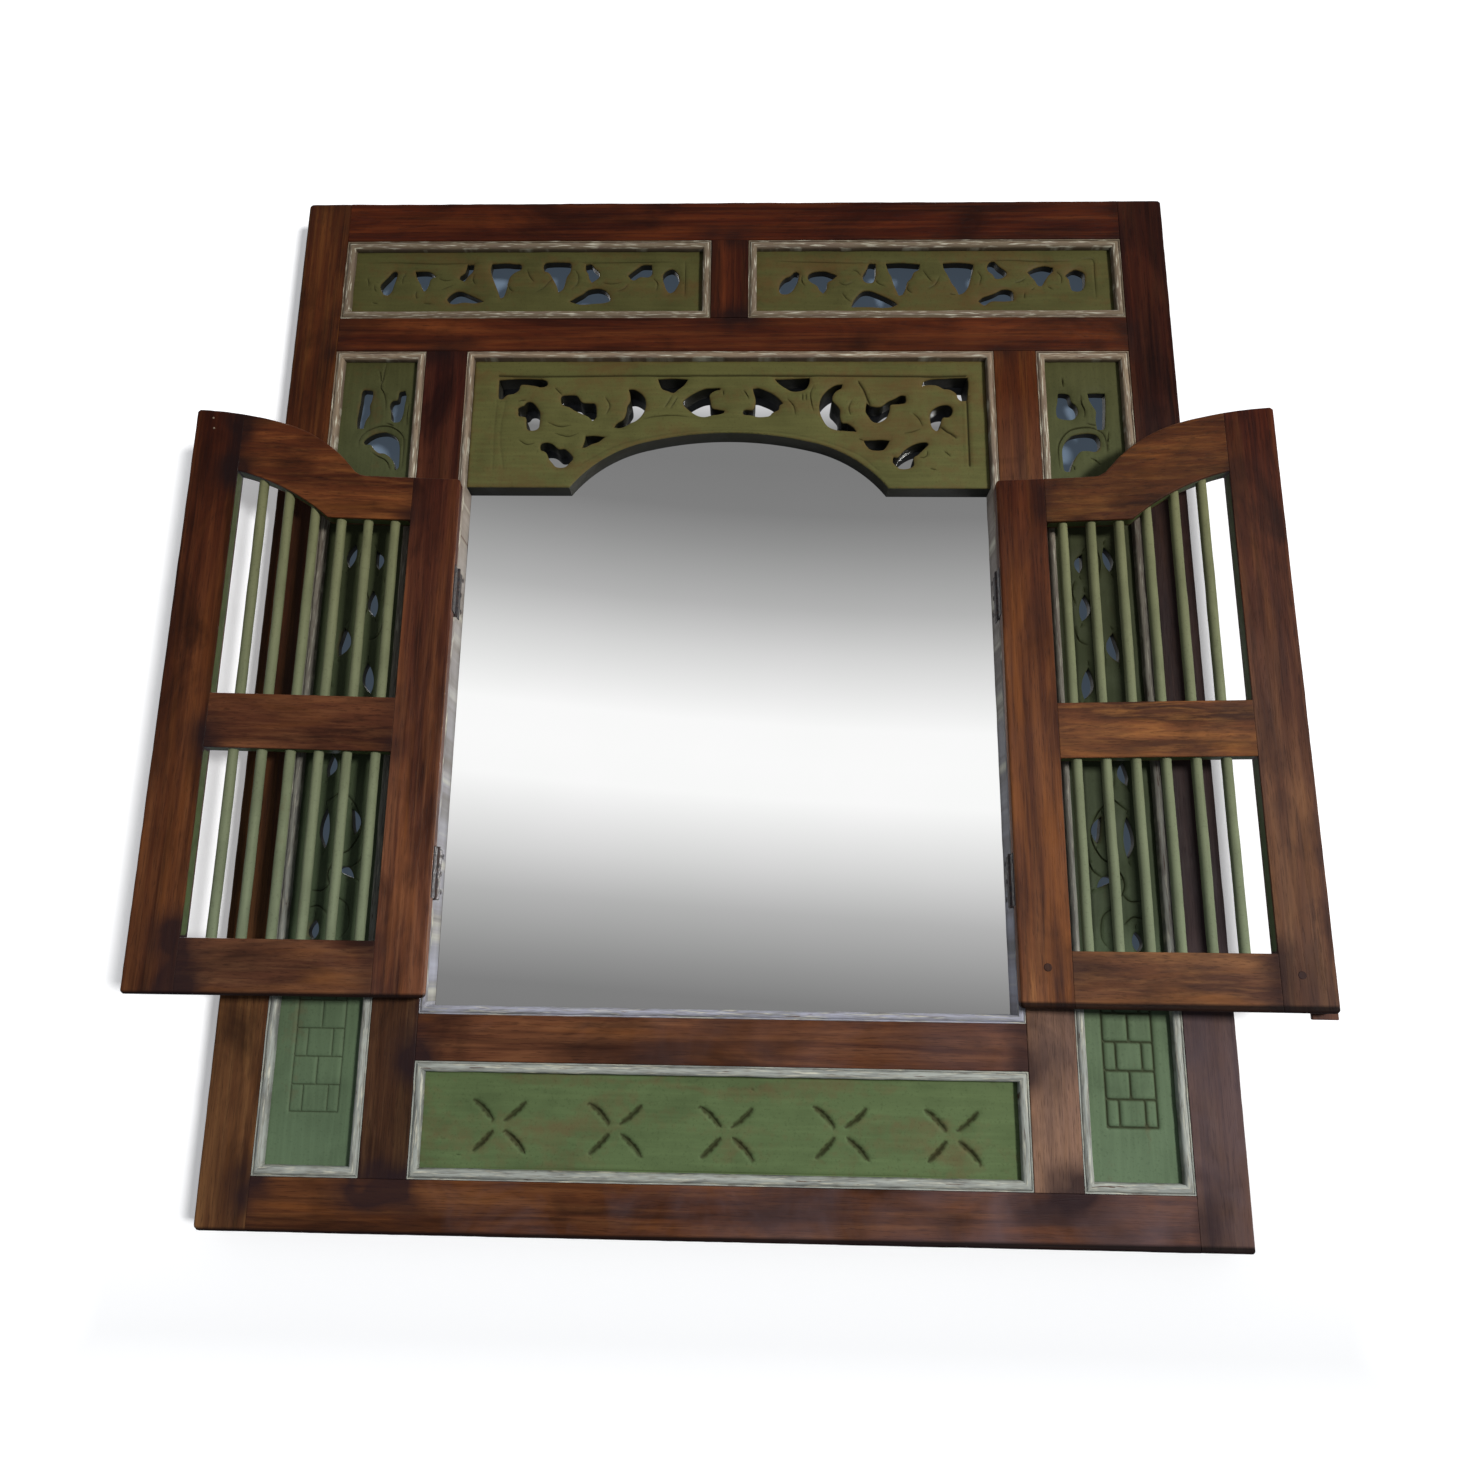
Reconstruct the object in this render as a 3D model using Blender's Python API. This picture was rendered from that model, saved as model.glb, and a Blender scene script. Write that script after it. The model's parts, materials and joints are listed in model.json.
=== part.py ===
"""Shuttered wall mirror.

A mortised teak frame holds pierced and painted panels around a mirror, and two spindle
shutters close over the mirror on butt hinges. Lengths are in metres, +Z is up and the
front faces -Y. The origin is the middle of the top rail's back face, on the wall.
Inside this script the frame is laid out from its front face (Y = 0) and its bottom
edge (Z = 0), and one empty carries it to the origin.
"""

import math

import bmesh
import bpy
from mathutils import Matrix, Vector

# Frame, from the middle outwards and from the bottom up
FRAME_DEPTH = 0.040
CENTRE_OPENING_WIDTH = 0.5972
INNER_STILE_WIDTH = 0.0470
SIDE_OPENING_WIDTH = 0.1041
STILE_WIDTH = 0.0503
MULLION_WIDTH = 0.0430
BOTTOM_RAIL_HEIGHT = 0.0496
BOTTOM_OPENING_HEIGHT = 0.1093
SILL_RAIL_HEIGHT = 0.0442
CENTRE_OPENING_HEIGHT = 0.7325
SECOND_RAIL_HEIGHT = 0.0424
TOP_OPENING_HEIGHT = 0.1020
TOP_RAIL_HEIGHT = 0.0510

# Frame joints: stub tenons, and grooves that take the panels' edges
TENON_THICKNESS = 0.012
TENON_LENGTH = 0.030
TENON_SHOULDER = 0.010
PANEL_TONGUE = 0.006
FRAME_ARRIS = 0.0016

# Panels and their beads
PANEL_THICKNESS = 0.012
PANEL_RECESS = 0.008
BEAD_WIDTH = 0.0100
BEAD_FILLET = 0.0022
BEAD_QUIRK = 0.0010
BEAD_QUIRK_DEPTH = 0.0012
BEAD_FILLET_SET = 0.0006
BEAD_PROUD = 0.0008

# Mirror, its lining and its back
LINING_WIDTH = 0.0080
GLASS_RECESS = 0.0315
GLASS_THICKNESS = 0.0035
BACKING_THICKNESS = 0.0042
BACKING_REBATE = 0.010

# Arched header panel over the mirror
HEADER_THICKNESS = 0.0232
HEADER_HEIGHT = 0.1561
ARCH_RISE = 0.067
ARCH_HALF = 0.177
CROWN_RADIUS = 0.380
CROWN_HALF = 0.095
HEADER_OFFSET = 0.0015

# Shutters
SHUTTER_THICKNESS = 0.019
SHUTTER_STILE_WIDTH = 0.050
SHUTTER_BOTTOM_RAIL_HEIGHT = 0.0540
LOWER_WINDOW_HEIGHT = 0.1895
MID_RAIL_HEIGHT = 0.057
SHOULDER_RAIL_HEIGHT = 0.0500
WINDOW_SHOULDER_WIDTH = 0.088
WINDOW_ARC_RADIUS = 0.235
WINDOW_ARC_RISE = 0.050
SHUTTER_FILLET_RADIUS = 0.016
SHUTTER_ARRIS = 0.0013
SHUTTER_TENON_THICKNESS = 0.0065
SHUTTER_TENON_LENGTH = 0.026
SHUTTER_TENON_SHOULDER = 0.009
DOWEL_DIAMETER = 0.0106
DOWEL_SEAT = 0.009
DOWEL_COUNT = 6
DOWEL_NEAR_MARGIN = 0.0176
DOWEL_FAR_MARGIN = 0.0270
LAP_WIDTH = 0.024
LAP_THICKNESS = 0.0050
LAP_OVERHANG = 0.0050
LAP_DROP = 0.0060
LAP_TOP_GAP = 0.012
LAP_ARRIS = 0.0010

# How the shutters sit in the frame when closed, and how far they stand open
SHUTTER_SILL_GAP = 0.0074
SHUTTER_SHOULDER_GAP = 0.0055
SHUTTER_HEAD_GAP = 0.0022
SHUTTER_SIDE_GAP = 0.0022
SHUTTER_MEETING_GAP = 0.0012
SHUTTER_SET_BACK = 0.0003
LEFT_OPEN_DEGREES = 175.4
RIGHT_OPEN_DEGREES = 174.1

# Butt hinges, two to a shutter
HINGE_HEIGHT = 0.051
HINGE_INSET = 0.1230
LEAF_WIDTH = 0.017
LEAF_THICKNESS = 0.0013
LEAF_PLAY = 0.0005
BARREL_RADIUS = 0.0022
PIN_RADIUS = 0.00125
PIN_PLAY = 0.00007
PIN_HEAD_RADIUS = 0.0020
PIN_HEAD_HEIGHT = 0.0010
PIN_PROUD = 0.0022
KNUCKLE_COUNT = 5
KNUCKLE_PLAY = 0.0003

# Gap between pieces that touch on the real mirror, and overrun of every cutter
GAP = 0.0003
OVERRUN = 0.003

# Facets
ARC_STEPS = 8
BEAD_STEPS = 5
LEAF_STEPS = 6
DOWEL_SIDES = 12
BARREL_SIDES = 16

# Places that follow from the sizes above
CENTRE_HALF = CENTRE_OPENING_WIDTH / 2
SIDE_INNER = CENTRE_HALF + INNER_STILE_WIDTH
SIDE_OUTER = SIDE_INNER + SIDE_OPENING_WIDTH
FRAME_HALF = SIDE_OUTER + STILE_WIDTH
MULLION_HALF = MULLION_WIDTH / 2
BOTTOM_OPENING_TOP = BOTTOM_RAIL_HEIGHT + BOTTOM_OPENING_HEIGHT
CENTRE_LOW = BOTTOM_OPENING_TOP + SILL_RAIL_HEIGHT
CENTRE_TOP = CENTRE_LOW + CENTRE_OPENING_HEIGHT
TOP_OPENING_LOW = CENTRE_TOP + SECOND_RAIL_HEIGHT
TOP_OPENING_TOP = TOP_OPENING_LOW + TOP_OPENING_HEIGHT
FRAME_HEIGHT = TOP_OPENING_TOP + TOP_RAIL_HEIGHT
LINING_HALF = CENTRE_HALF - LINING_WIDTH
LINING_LOW = CENTRE_LOW + LINING_WIDTH
LINING_TOP = CENTRE_TOP - LINING_WIDTH
HEADER_LOW = LINING_TOP - HEADER_HEIGHT
HEADER_FRONT = GLASS_RECESS - GAP - HEADER_THICKNESS
BACKING_FRONT = GLASS_RECESS + GLASS_THICKNESS + GAP

# Each shutter is drawn closed, from its hinge axis: u across it, v into the wall
AXIS_X = LINING_HALF - SHUTTER_SIDE_GAP / 2
AXIS_Y = -PIN_PROUD
SHUTTER_EDGE = SHUTTER_SIDE_GAP / 2
SHUTTER_END = AXIS_X - SHUTTER_MEETING_GAP / 2
SHUTTER_FRONT = PIN_PROUD + SHUTTER_SET_BACK
SHUTTER_BACK = SHUTTER_FRONT + SHUTTER_THICKNESS
SHUTTER_MIDDLE = (SHUTTER_FRONT + SHUTTER_BACK) / 2
SHUTTER_LOW = LINING_LOW + SHUTTER_SILL_GAP
SHOULDER_TOP = HEADER_LOW - SHUTTER_SHOULDER_GAP
WINDOW_NEAR = SHUTTER_EDGE + SHUTTER_STILE_WIDTH
WINDOW_FAR = SHUTTER_END - SHUTTER_STILE_WIDTH
LOWER_WINDOW_LOW = SHUTTER_LOW + SHUTTER_BOTTOM_RAIL_HEIGHT
MID_RAIL_LOW = LOWER_WINDOW_LOW + LOWER_WINDOW_HEIGHT
MID_RAIL_TOP = MID_RAIL_LOW + MID_RAIL_HEIGHT
WINDOW_SHOULDER = SHOULDER_TOP - SHOULDER_RAIL_HEIGHT
WINDOW_ARC_START = WINDOW_NEAR + WINDOW_SHOULDER_WIDTH

# Every way through the frame: left, right, bottom and top edge
TOP_LEFT_OPENING = (-SIDE_OUTER, -MULLION_HALF, TOP_OPENING_LOW, TOP_OPENING_TOP)
TOP_RIGHT_OPENING = (MULLION_HALF, SIDE_OUTER, TOP_OPENING_LOW, TOP_OPENING_TOP)
LEFT_SIDE_OPENING = (-SIDE_OUTER, -SIDE_INNER, BOTTOM_RAIL_HEIGHT, CENTRE_TOP)
RIGHT_SIDE_OPENING = (SIDE_INNER, SIDE_OUTER, BOTTOM_RAIL_HEIGHT, CENTRE_TOP)
BOTTOM_OPENING = (-CENTRE_HALF, CENTRE_HALF, BOTTOM_RAIL_HEIGHT, BOTTOM_OPENING_TOP)
CENTRE_OPENING = (-CENTRE_HALF, CENTRE_HALF, CENTRE_LOW, CENTRE_TOP)

# Outlines of the carved openings, as shares of their own width and height
FAN_shares = [(-0.5, 0.5), (0.5, 0.5), (0.36, 0.22), (0.2, -0.1), (0.14, -0.4),
              (0, -0.5), (-0.14, -0.4), (-0.2, -0.1), (-0.36, 0.22)]
CORNER_shares = [(-0.5, 0.5), (0.5, 0.5), (0.46, 0.16), (0.2, 0.2), (-0.08, 0.1),
                 (-0.12, -0.18), (-0.34, -0.24), (-0.5, -0.5)]
BUD_shares = [(-0.5, 0.02), (-0.2, 0.3), (0.12, 0.44), (0.48, 0.5), (0.34, 0.24),
              (0.3, -0.04), (0.5, -0.3), (0.32, -0.46), (0.02, -0.5), (-0.26, -0.28)]

# Carved openings of a top panel, from its middle: x as a share of its opening's width,
# z, length and width as shares of its height, then the turn in degrees and the bend
TOP_LEAF_shares = [
    (-0.388, 0.015, 0.30, 0.127, 58, 0.05),
    (-0.172, 0.137, 0.25, 0.078, 57, 0),
    (-0.168, -0.192, 0.43, 0.147, -6, 0.12),
    (0.174, 0.147, 0.25, 0.088, -55, 0),
    (0.169, -0.172, 0.43, 0.147, 8, 0.12),
    (0.295, 0.122, 0.29, 0.113, 28, 0.08),
    (0.388, 0.029, 0.29, 0.137, -62, -0.06),
]
TOP_FAN_shares = [
    (-0.292, 0.044, 0.24, 0.22),
    (-0.070, 0.051, 0.31, 0.39),
    (0.075, 0.059, 0.31, 0.39),
]

# Carved openings of the header's right half, from its middle and its low edge: x as a
# share of its half width, the rest as shares of its height
HEADER_LEAF_shares = [
    (0.798, 0.570, 0.231, 0.128, 60, 0.06),
    (0.597, 0.634, 0.320, 0.090, 33, -0.08),
    (0.683, 0.256, 0.295, 0.109, 38, 0.06),
    (0.396, 0.631, 0.346, 0.141, -66, -0.16),
]
HEADER_FAN_shares = [
    (0.556, 0.349, 0.192, 0.096),
    (0.237, 0.810, 0.256, 0.115),
]
HEADER_BUD_share = (0.110, 0.679, 0.282, 0.231)
HEADER_CORNER_share = (0.824, 0.778, 0.340, 0.167)

# Carved openings at the top of a side panel, from its middle and down from its top,
# as shares of its opening's width
SIDE_LEAF_shares = [
    (-0.159, 0.615, 0.327, 0.154, 82, 0.05),
    (0.159, 0.615, 0.327, 0.154, 98, -0.05),
    (0, 1.162, 0.423, 0.240, 0, 0.22),
]

# The scroll of leaves below them, as many as there is room for
SCROLL_DROP = 0.199
SCROLL_FOOT = 0.225
SCROLL_PITCH = 0.0496
SCROLL_OFFSET = 0.0135
SCROLL_LENGTH = 0.031
SCROLL_WIDTH = 0.0150
SCROLL_TURN_DEGREES = 64
SCROLL_BEND_share = 0.14

# Gouged crosses of the bottom panel, as many as there is room for
CROSS_PITCH = 0.1095
CROSS_OFFSET = 0.005
CROSS_LIFT_share = 0.44
GOUGE_LENGTH = 0.030
GOUGE_WIDTH = 0.0070
GOUGE_DEPTH = 0.0032
GOUGE_REACH = 0.0220

# Finishes: colour, roughness and metallic value
FINISHES = {
    "teak": ((0.115, 0.045, 0.025), 0.42, 0),
    "green_paint": ((0.085, 0.105, 0.035), 0.65, 0),
    "cream_paint": ((0.40, 0.35, 0.26), 0.70, 0),
    "mirror": ((0.90, 0.90, 0.90), 0.02, 1),
    "backing": ((0.30, 0.20, 0.12), 0.80, 0),
    "hinge_iron": ((0.060, 0.055, 0.050), 0.50, 1),
}


# Tools of the workshop

def clear_scene():
    for item in list(bpy.data.objects):
        bpy.data.objects.remove(item, do_unlink=True)


def finish(name):
    """The one material of a finish, made when it is first asked for."""
    made = bpy.data.materials.get(name)
    if made:
        return made
    colour, roughness, metallic = FINISHES[name]
    made = bpy.data.materials.new(name)
    made.use_nodes = True
    shader = made.node_tree.nodes["Principled BSDF"]
    shader.inputs["Base Color"].default_value = (*colour, 1)
    shader.inputs["Roughness"].default_value = roughness
    shader.inputs["Metallic"].default_value = metallic
    made.diffuse_color = (*colour, 1)
    return made


def empty(name, place, parent=None, turn=0):
    """An empty that carries other pieces; turn is in radians about Z."""
    made = bpy.data.objects.new(name, None)
    made.location = place
    made.rotation_euler = (0, 0, turn)
    made.parent = parent
    bpy.context.scene.collection.objects.link(made)
    return made


def piece(name, shape, look, parent, smooth_angle=None):
    """Turn a bmesh into a named object with its own finish."""
    bmesh.ops.recalc_face_normals(shape, faces=shape.faces)
    mesh = bpy.data.meshes.new(name)
    shape.to_mesh(mesh)
    shape.free()
    if look:
        mesh.materials.append(finish(look))
    if smooth_angle:
        mesh.shade_smooth()
        mesh.set_sharp_from_angle(angle=smooth_angle)
    made = bpy.data.objects.new(name, mesh)
    made.parent = parent
    bpy.context.scene.collection.objects.link(made)
    return made


def round_edges(item, width, segments=2):
    """Take the sharp arrises off a piece of wood."""
    bevel = item.modifiers.new("arris", "BEVEL")
    bevel.width = width
    bevel.segments = segments
    bevel.limit_method = "ANGLE"
    bevel.angle_limit = math.radians(40)


def combine(item, shape, operation):
    """Cut a shape out of a piece, or grow it by the shape; the shape stays as a guide."""
    guide = piece(item.name + "_" + operation.lower(), shape, None, item.parent)
    guide.hide_render = True
    guide.display_type = "WIRE"
    step = item.modifiers.new(operation.lower(), "BOOLEAN")
    step.operation = operation
    step.solver = "EXACT"
    step.object = guide


def add_box(shape, x_range, y_range, z_range):
    """Add a box between pairs of planes."""
    middle = [(low + high) / 2 for low, high in (x_range, y_range, z_range)]
    spans = [abs(high - low) for low, high in (x_range, y_range, z_range)]
    place = Matrix.Translation(middle) @ Matrix.Diagonal((*spans, 1))
    bmesh.ops.create_cube(shape, size=1, matrix=place)


def box_shape(x_range, y_range, z_range):
    shape = bmesh.new()
    add_box(shape, x_range, y_range, z_range)
    return shape


def add_cylinder(shape, x, y, z_range, radius, sides):
    """Add an upright cylinder."""
    low, high = z_range
    place = Matrix.Translation((x, y, (low + high) / 2))
    bmesh.ops.create_cone(shape, cap_ends=True, segments=sides, radius1=radius,
                          radius2=radius, depth=high - low, matrix=place)


def board_shape(outline, y_range, holes=()):
    """A board cut to an outline in X and Z and pierced by holes."""
    shape = bmesh.new()
    front, back = y_range
    edges = []
    for loop in [outline, *holes]:
        corners = [shape.verts.new((x, front, z)) for x, z in loop]
        pairs = zip(corners, corners[1:] + corners[:1])
        edges += [shape.edges.new(pair) for pair in pairs]
    if holes:
        filled = bmesh.ops.triangle_fill(shape, edges=edges, use_beauty=True)["geom"]
        faces = [item for item in filled if isinstance(item, bmesh.types.BMFace)]
    else:
        faces = [shape.faces.new(corners)]
    grown = bmesh.ops.extrude_face_region(shape, geom=faces)["geom"]
    moved = [item for item in grown if isinstance(item, bmesh.types.BMVert)]
    bmesh.ops.translate(shape, verts=moved, vec=(0, back - front, 0))
    return shape


def rectangle(x_low, x_high, z_low, z_high):
    return [(x_low, z_low), (x_high, z_low), (x_high, z_high), (x_low, z_high)]


def grown(opening, margin):
    """An opening made larger by a margin all round."""
    left, right, low, top = opening
    return (left - margin, right + margin, low - margin, top + margin)


def ring_shape(opening, profile):
    """A moulding mitred round the inside of an opening.

    The profile is a closed list of (distance in from the opening's edge, Y).
    """
    shape = bmesh.new()
    rings = []
    for inset, y in profile:
        corners = rectangle(*grown(opening, -inset))
        rings.append([shape.verts.new((x, y, z)) for x, z in corners])
    for ring, following in zip(rings, rings[1:] + rings[:1]):
        for side in range(4):
            after = (side + 1) % 4
            shape.faces.new((ring[side], ring[after], following[after], following[side]))
    return shape


def arc_points(centre, radius, start, end, steps):
    """Points along an arc; angles in radians."""
    cx, cz = centre
    angles = [start + (end - start) * step / steps for step in range(steps + 1)]
    return [(cx + radius * math.cos(angle), cz + radius * math.sin(angle))
            for angle in angles]


# Frame: stiles and rails, joined by stub tenons

def frame_member(name, x_range, z_range):
    """A length of 40 mm stock between two pairs of planes."""
    shape = box_shape(x_range, (0, FRAME_DEPTH), z_range)
    item = piece(name, shape, "teak", frame)
    round_edges(item, FRAME_ARRIS)
    return item


def tenon_y(margin=0):
    middle = FRAME_DEPTH / 2
    half = TENON_THICKNESS / 2 + margin
    return (middle - half, middle + half)


def add_tenon(shape, end, toward, cross_range, upright, margin=0):
    """A tenon past the end of a member; a margin makes it the mortise for that tenon.

    end is where the member stops and toward is +1 or -1 along it; an upright member
    runs along Z, any other along X.
    """
    low, high = cross_range
    cross = (low + TENON_SHOULDER - margin, high - TENON_SHOULDER + margin)
    tip = end + toward * (TENON_LENGTH + margin)
    root = end - toward * TENON_SHOULDER
    along = (min(root, tip), max(root, tip))
    if upright:
        add_box(shape, cross, tenon_y(margin), along)
    else:
        add_box(shape, along, tenon_y(margin), cross)


def tenons_for(ends, cross_range, upright, margin=0):
    shape = bmesh.new()
    for end, toward in ends:
        add_tenon(shape, end, toward, cross_range, upright, margin)
    return shape


def cut_panel_grooves(item, openings):
    """Plough the grooves that hold the edges of the panels beside a member."""
    shape = bmesh.new()
    groove_y = (PANEL_RECESS - GAP, PANEL_RECESS + PANEL_THICKNESS + GAP)
    for opening in openings:
        left, right, low, top = grown(opening, PANEL_TONGUE + GAP)
        add_box(shape, (left, right), groove_y, (low, top))
    combine(item, shape, "DIFFERENCE")


def cut_backing_rebate(item):
    """Rebate the back of a member for the backing board."""
    left, right, low, top = grown(CENTRE_OPENING, BACKING_REBATE + GAP)
    rebate_y = (BACKING_FRONT - GAP, FRAME_DEPTH + OVERRUN)
    combine(item, box_shape((left, right), rebate_y, (low, top)), "DIFFERENCE")


def make_frame():
    full_rails = [
        ("top_rail", TOP_OPENING_TOP, FRAME_HEIGHT),
        ("second_rail", CENTRE_TOP, TOP_OPENING_LOW),
        ("bottom_rail", 0, BOTTOM_RAIL_HEIGHT),
    ]
    rail_ends = [(-SIDE_OUTER + GAP, -1), (SIDE_OUTER - GAP, 1)]
    sill_ends = [(-CENTRE_HALF + GAP, -1), (CENTRE_HALF - GAP, 1)]
    sill_range = (BOTTOM_OPENING_TOP, CENTRE_LOW)
    mullion_range = (-MULLION_HALF, MULLION_HALF)
    mullion_ends = [(TOP_OPENING_LOW + GAP, -1), (TOP_OPENING_TOP - GAP, 1)]
    inner_ends = [(BOTTOM_RAIL_HEIGHT + GAP, -1), (CENTRE_TOP - GAP, 1)]

    # The outer stiles run the full height, and the three long rails are let into them.
    for name, side in (("left_stile", -1), ("right_stile", 1)):
        across = sorted((side * SIDE_OUTER, side * FRAME_HALF))
        item = frame_member(name, across, (0, FRAME_HEIGHT))
        mortises = bmesh.new()
        for _, low, high in full_rails:
            add_tenon(mortises, side * (SIDE_OUTER - GAP), side, (low, high), False, GAP)
        combine(item, mortises, "DIFFERENCE")
        if side < 0:
            cut_panel_grooves(item, [TOP_LEFT_OPENING, LEFT_SIDE_OPENING])
        else:
            cut_panel_grooves(item, [TOP_RIGHT_OPENING, RIGHT_SIDE_OPENING])

    # Long rails, mortised in turn for the mullion and the inner stiles
    rails = {}
    for name, low, high in full_rails:
        item = frame_member(name, (-SIDE_OUTER + GAP, SIDE_OUTER - GAP), (low, high))
        combine(item, tenons_for(rail_ends, (low, high), False), "UNION")
        rails[name] = item
    inner_ranges = [(-SIDE_INNER, -CENTRE_HALF), (CENTRE_HALF, SIDE_INNER)]
    below = bmesh.new()
    above = bmesh.new()
    for inner in inner_ranges:
        add_tenon(below, *inner_ends[0], inner, True, GAP)
        add_tenon(above, *inner_ends[1], inner, True, GAP)
    combine(rails["bottom_rail"], below, "DIFFERENCE")
    combine(rails["second_rail"], above, "DIFFERENCE")
    for rail, end in (("second_rail", mullion_ends[0]), ("top_rail", mullion_ends[1])):
        combine(rails[rail], tenons_for([end], mullion_range, True, GAP), "DIFFERENCE")
    cut_panel_grooves(rails["top_rail"], [TOP_LEFT_OPENING, TOP_RIGHT_OPENING])
    cut_panel_grooves(rails["second_rail"], [TOP_LEFT_OPENING, TOP_RIGHT_OPENING,
                                             LEFT_SIDE_OPENING, RIGHT_SIDE_OPENING])
    cut_panel_grooves(rails["bottom_rail"], [LEFT_SIDE_OPENING, BOTTOM_OPENING,
                                             RIGHT_SIDE_OPENING])
    cut_backing_rebate(rails["second_rail"])

    # Inner stiles stand between the bottom rail and the second rail.
    for name, side, side_opening in (("left_inner_stile", -1, LEFT_SIDE_OPENING),
                                     ("right_inner_stile", 1, RIGHT_SIDE_OPENING)):
        across = sorted((side * CENTRE_HALF, side * SIDE_INNER))
        item = frame_member(name, across, (inner_ends[0][0], inner_ends[1][0]))
        combine(item, tenons_for(inner_ends, across, True), "UNION")
        mortise = tenons_for([(side * (CENTRE_HALF - GAP), side)], sill_range, False, GAP)
        combine(item, mortise, "DIFFERENCE")
        cut_panel_grooves(item, [side_opening, BOTTOM_OPENING])
        cut_backing_rebate(item)

    # Sill rail between the inner stiles, under the mirror
    item = frame_member("sill_rail", (sill_ends[0][0], sill_ends[1][0]), sill_range)
    combine(item, tenons_for(sill_ends, sill_range, False), "UNION")
    cut_panel_grooves(item, [BOTTOM_OPENING])
    cut_backing_rebate(item)

    # Short mullion between the two top panels
    item = frame_member("top_mullion", mullion_range, (mullion_ends[0][0], mullion_ends[1][0]))
    combine(item, tenons_for(mullion_ends, mullion_range, True), "UNION")
    cut_panel_grooves(item, [TOP_LEFT_OPENING, TOP_RIGHT_OPENING])


# Carved openings

def leaf(x, z, length, width, turn, bend):
    """A pointed leaf round a spine that is bowed by a share of its length."""
    angle = math.radians(turn)
    points = []
    for side in (1, -1):
        for step in range(LEAF_STEPS):
            along = step / LEAF_STEPS if side > 0 else 1 - step / LEAF_STEPS
            across = side * width / 2 * math.sin(math.pi * along)
            across += bend * length * math.sin(math.pi * along)
            points.append(((along - 0.5) * length, across))
    turned = []
    for p, q in points:
        turned.append((x + p * math.cos(angle) - q * math.sin(angle),
                       z + p * math.sin(angle) + q * math.cos(angle)))
    return turned


def scaled(shares, x, z, width, height):
    """An outline of shares laid out at a place and size."""
    return [(x + p * width, z + q * height) for p, q in shares]


def mirrored(loop):
    return [(-x, z) for x, z in loop]


def moved_along(loop, offset):
    return [(x + offset, z) for x, z in loop]


def place_leaves(shares, middle_x, middle_z, across, size):
    """Leaves from a table of shares; size also sets their lengths and widths."""
    return [leaf(middle_x + x * across, middle_z + z * size, length * size, width * size,
                 turn, bend) for x, z, length, width, turn, bend in shares]


def place_outline(outline_shares, share, middle_x, middle_z, across, size):
    """One outline of shares, set by a row of a table of shares."""
    x, z, width, height = share
    return scaled(outline_shares, middle_x + x * across, middle_z + z * size,
                  width * size, height * size)


def top_panel_holes(opening):
    left, right, low, top = opening
    place = ((left + right) / 2, (low + top) / 2, right - left, top - low)
    holes = place_leaves(TOP_LEAF_shares, *place)
    return holes + [place_outline(FAN_shares, share, *place) for share in TOP_FAN_shares]


def header_holes():
    """The carving of the right half, and the same again for the left half."""
    place = (0, HEADER_LOW, LINING_HALF, HEADER_HEIGHT)
    right = place_leaves(HEADER_LEAF_shares, *place)
    right += [place_outline(FAN_shares, share, *place) for share in HEADER_FAN_shares]
    left_place = (0, HEADER_LOW, -LINING_HALF, HEADER_HEIGHT)
    left = [place_outline(BUD_shares, HEADER_BUD_share, *left_place),
            place_outline(CORNER_shares, HEADER_CORNER_share, *left_place)]
    right += [mirrored(loop) for loop in left]
    return right + [mirrored(loop) for loop in right]


def side_panel_holes(opening):
    """Two upright leaves, a crescent, and a scroll that swings down the panel."""
    left, right, low, top = opening
    middle = (left + right) / 2
    size = right - left
    holes = []
    for x, drop, length, width, turn, bend in SIDE_LEAF_shares:
        holes.append(leaf(middle + x * size, top - drop * size, length * size,
                          width * size, turn, bend))
    stretch = top - low - SCROLL_DROP - SCROLL_FOOT
    for index in range(max(0, int(stretch / SCROLL_PITCH) + 1)):
        swing = -1 if index % 2 else 1
        holes.append(leaf(middle + swing * SCROLL_OFFSET,
                          top - SCROLL_DROP - index * SCROLL_PITCH,
                          SCROLL_LENGTH, SCROLL_WIDTH,
                          swing * SCROLL_TURN_DEGREES, swing * SCROLL_BEND_share))
    return holes


def add_gouge(shape, x, z, turn):
    """A boat-shaped cut: a stretched octahedron with its waist at the panel's face."""
    spans = (GOUGE_LENGTH / 2, GOUGE_DEPTH, GOUGE_WIDTH / 2)
    place = Matrix.Translation((x, PANEL_RECESS, z)) @ Matrix.Rotation(turn, 4, "Y")
    corners = []
    for axis in range(3):
        for sign in (-1, 1):
            corner = [0, 0, 0]
            corner[axis] = sign * spans[axis]
            corners.append(shape.verts.new(place @ Vector(corner)))
    tip, far_tip, over, under, edge, far_edge = corners
    for pole in (over, under):
        for first, second in ((tip, edge), (edge, far_tip), (far_tip, far_edge),
                              (far_edge, tip)):
            shape.faces.new((pole, first, second))


def cut_crosses(item):
    """Four gouge strokes make each cross."""
    shape = bmesh.new()
    middle_z = BOTTOM_RAIL_HEIGHT + CROSS_LIFT_share * BOTTOM_OPENING_HEIGHT
    count = int(CENTRE_OPENING_WIDTH / CROSS_PITCH)
    for index in range(count):
        middle_x = (index - (count - 1) / 2) * CROSS_PITCH + CROSS_OFFSET
        for stroke in range(4):
            turn = math.radians(45 + 90 * stroke)
            add_gouge(shape, middle_x + GOUGE_REACH * math.cos(turn),
                      middle_z - GOUGE_REACH * math.sin(turn), turn)
    combine(item, shape, "DIFFERENCE")


# Panels and beads

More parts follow.
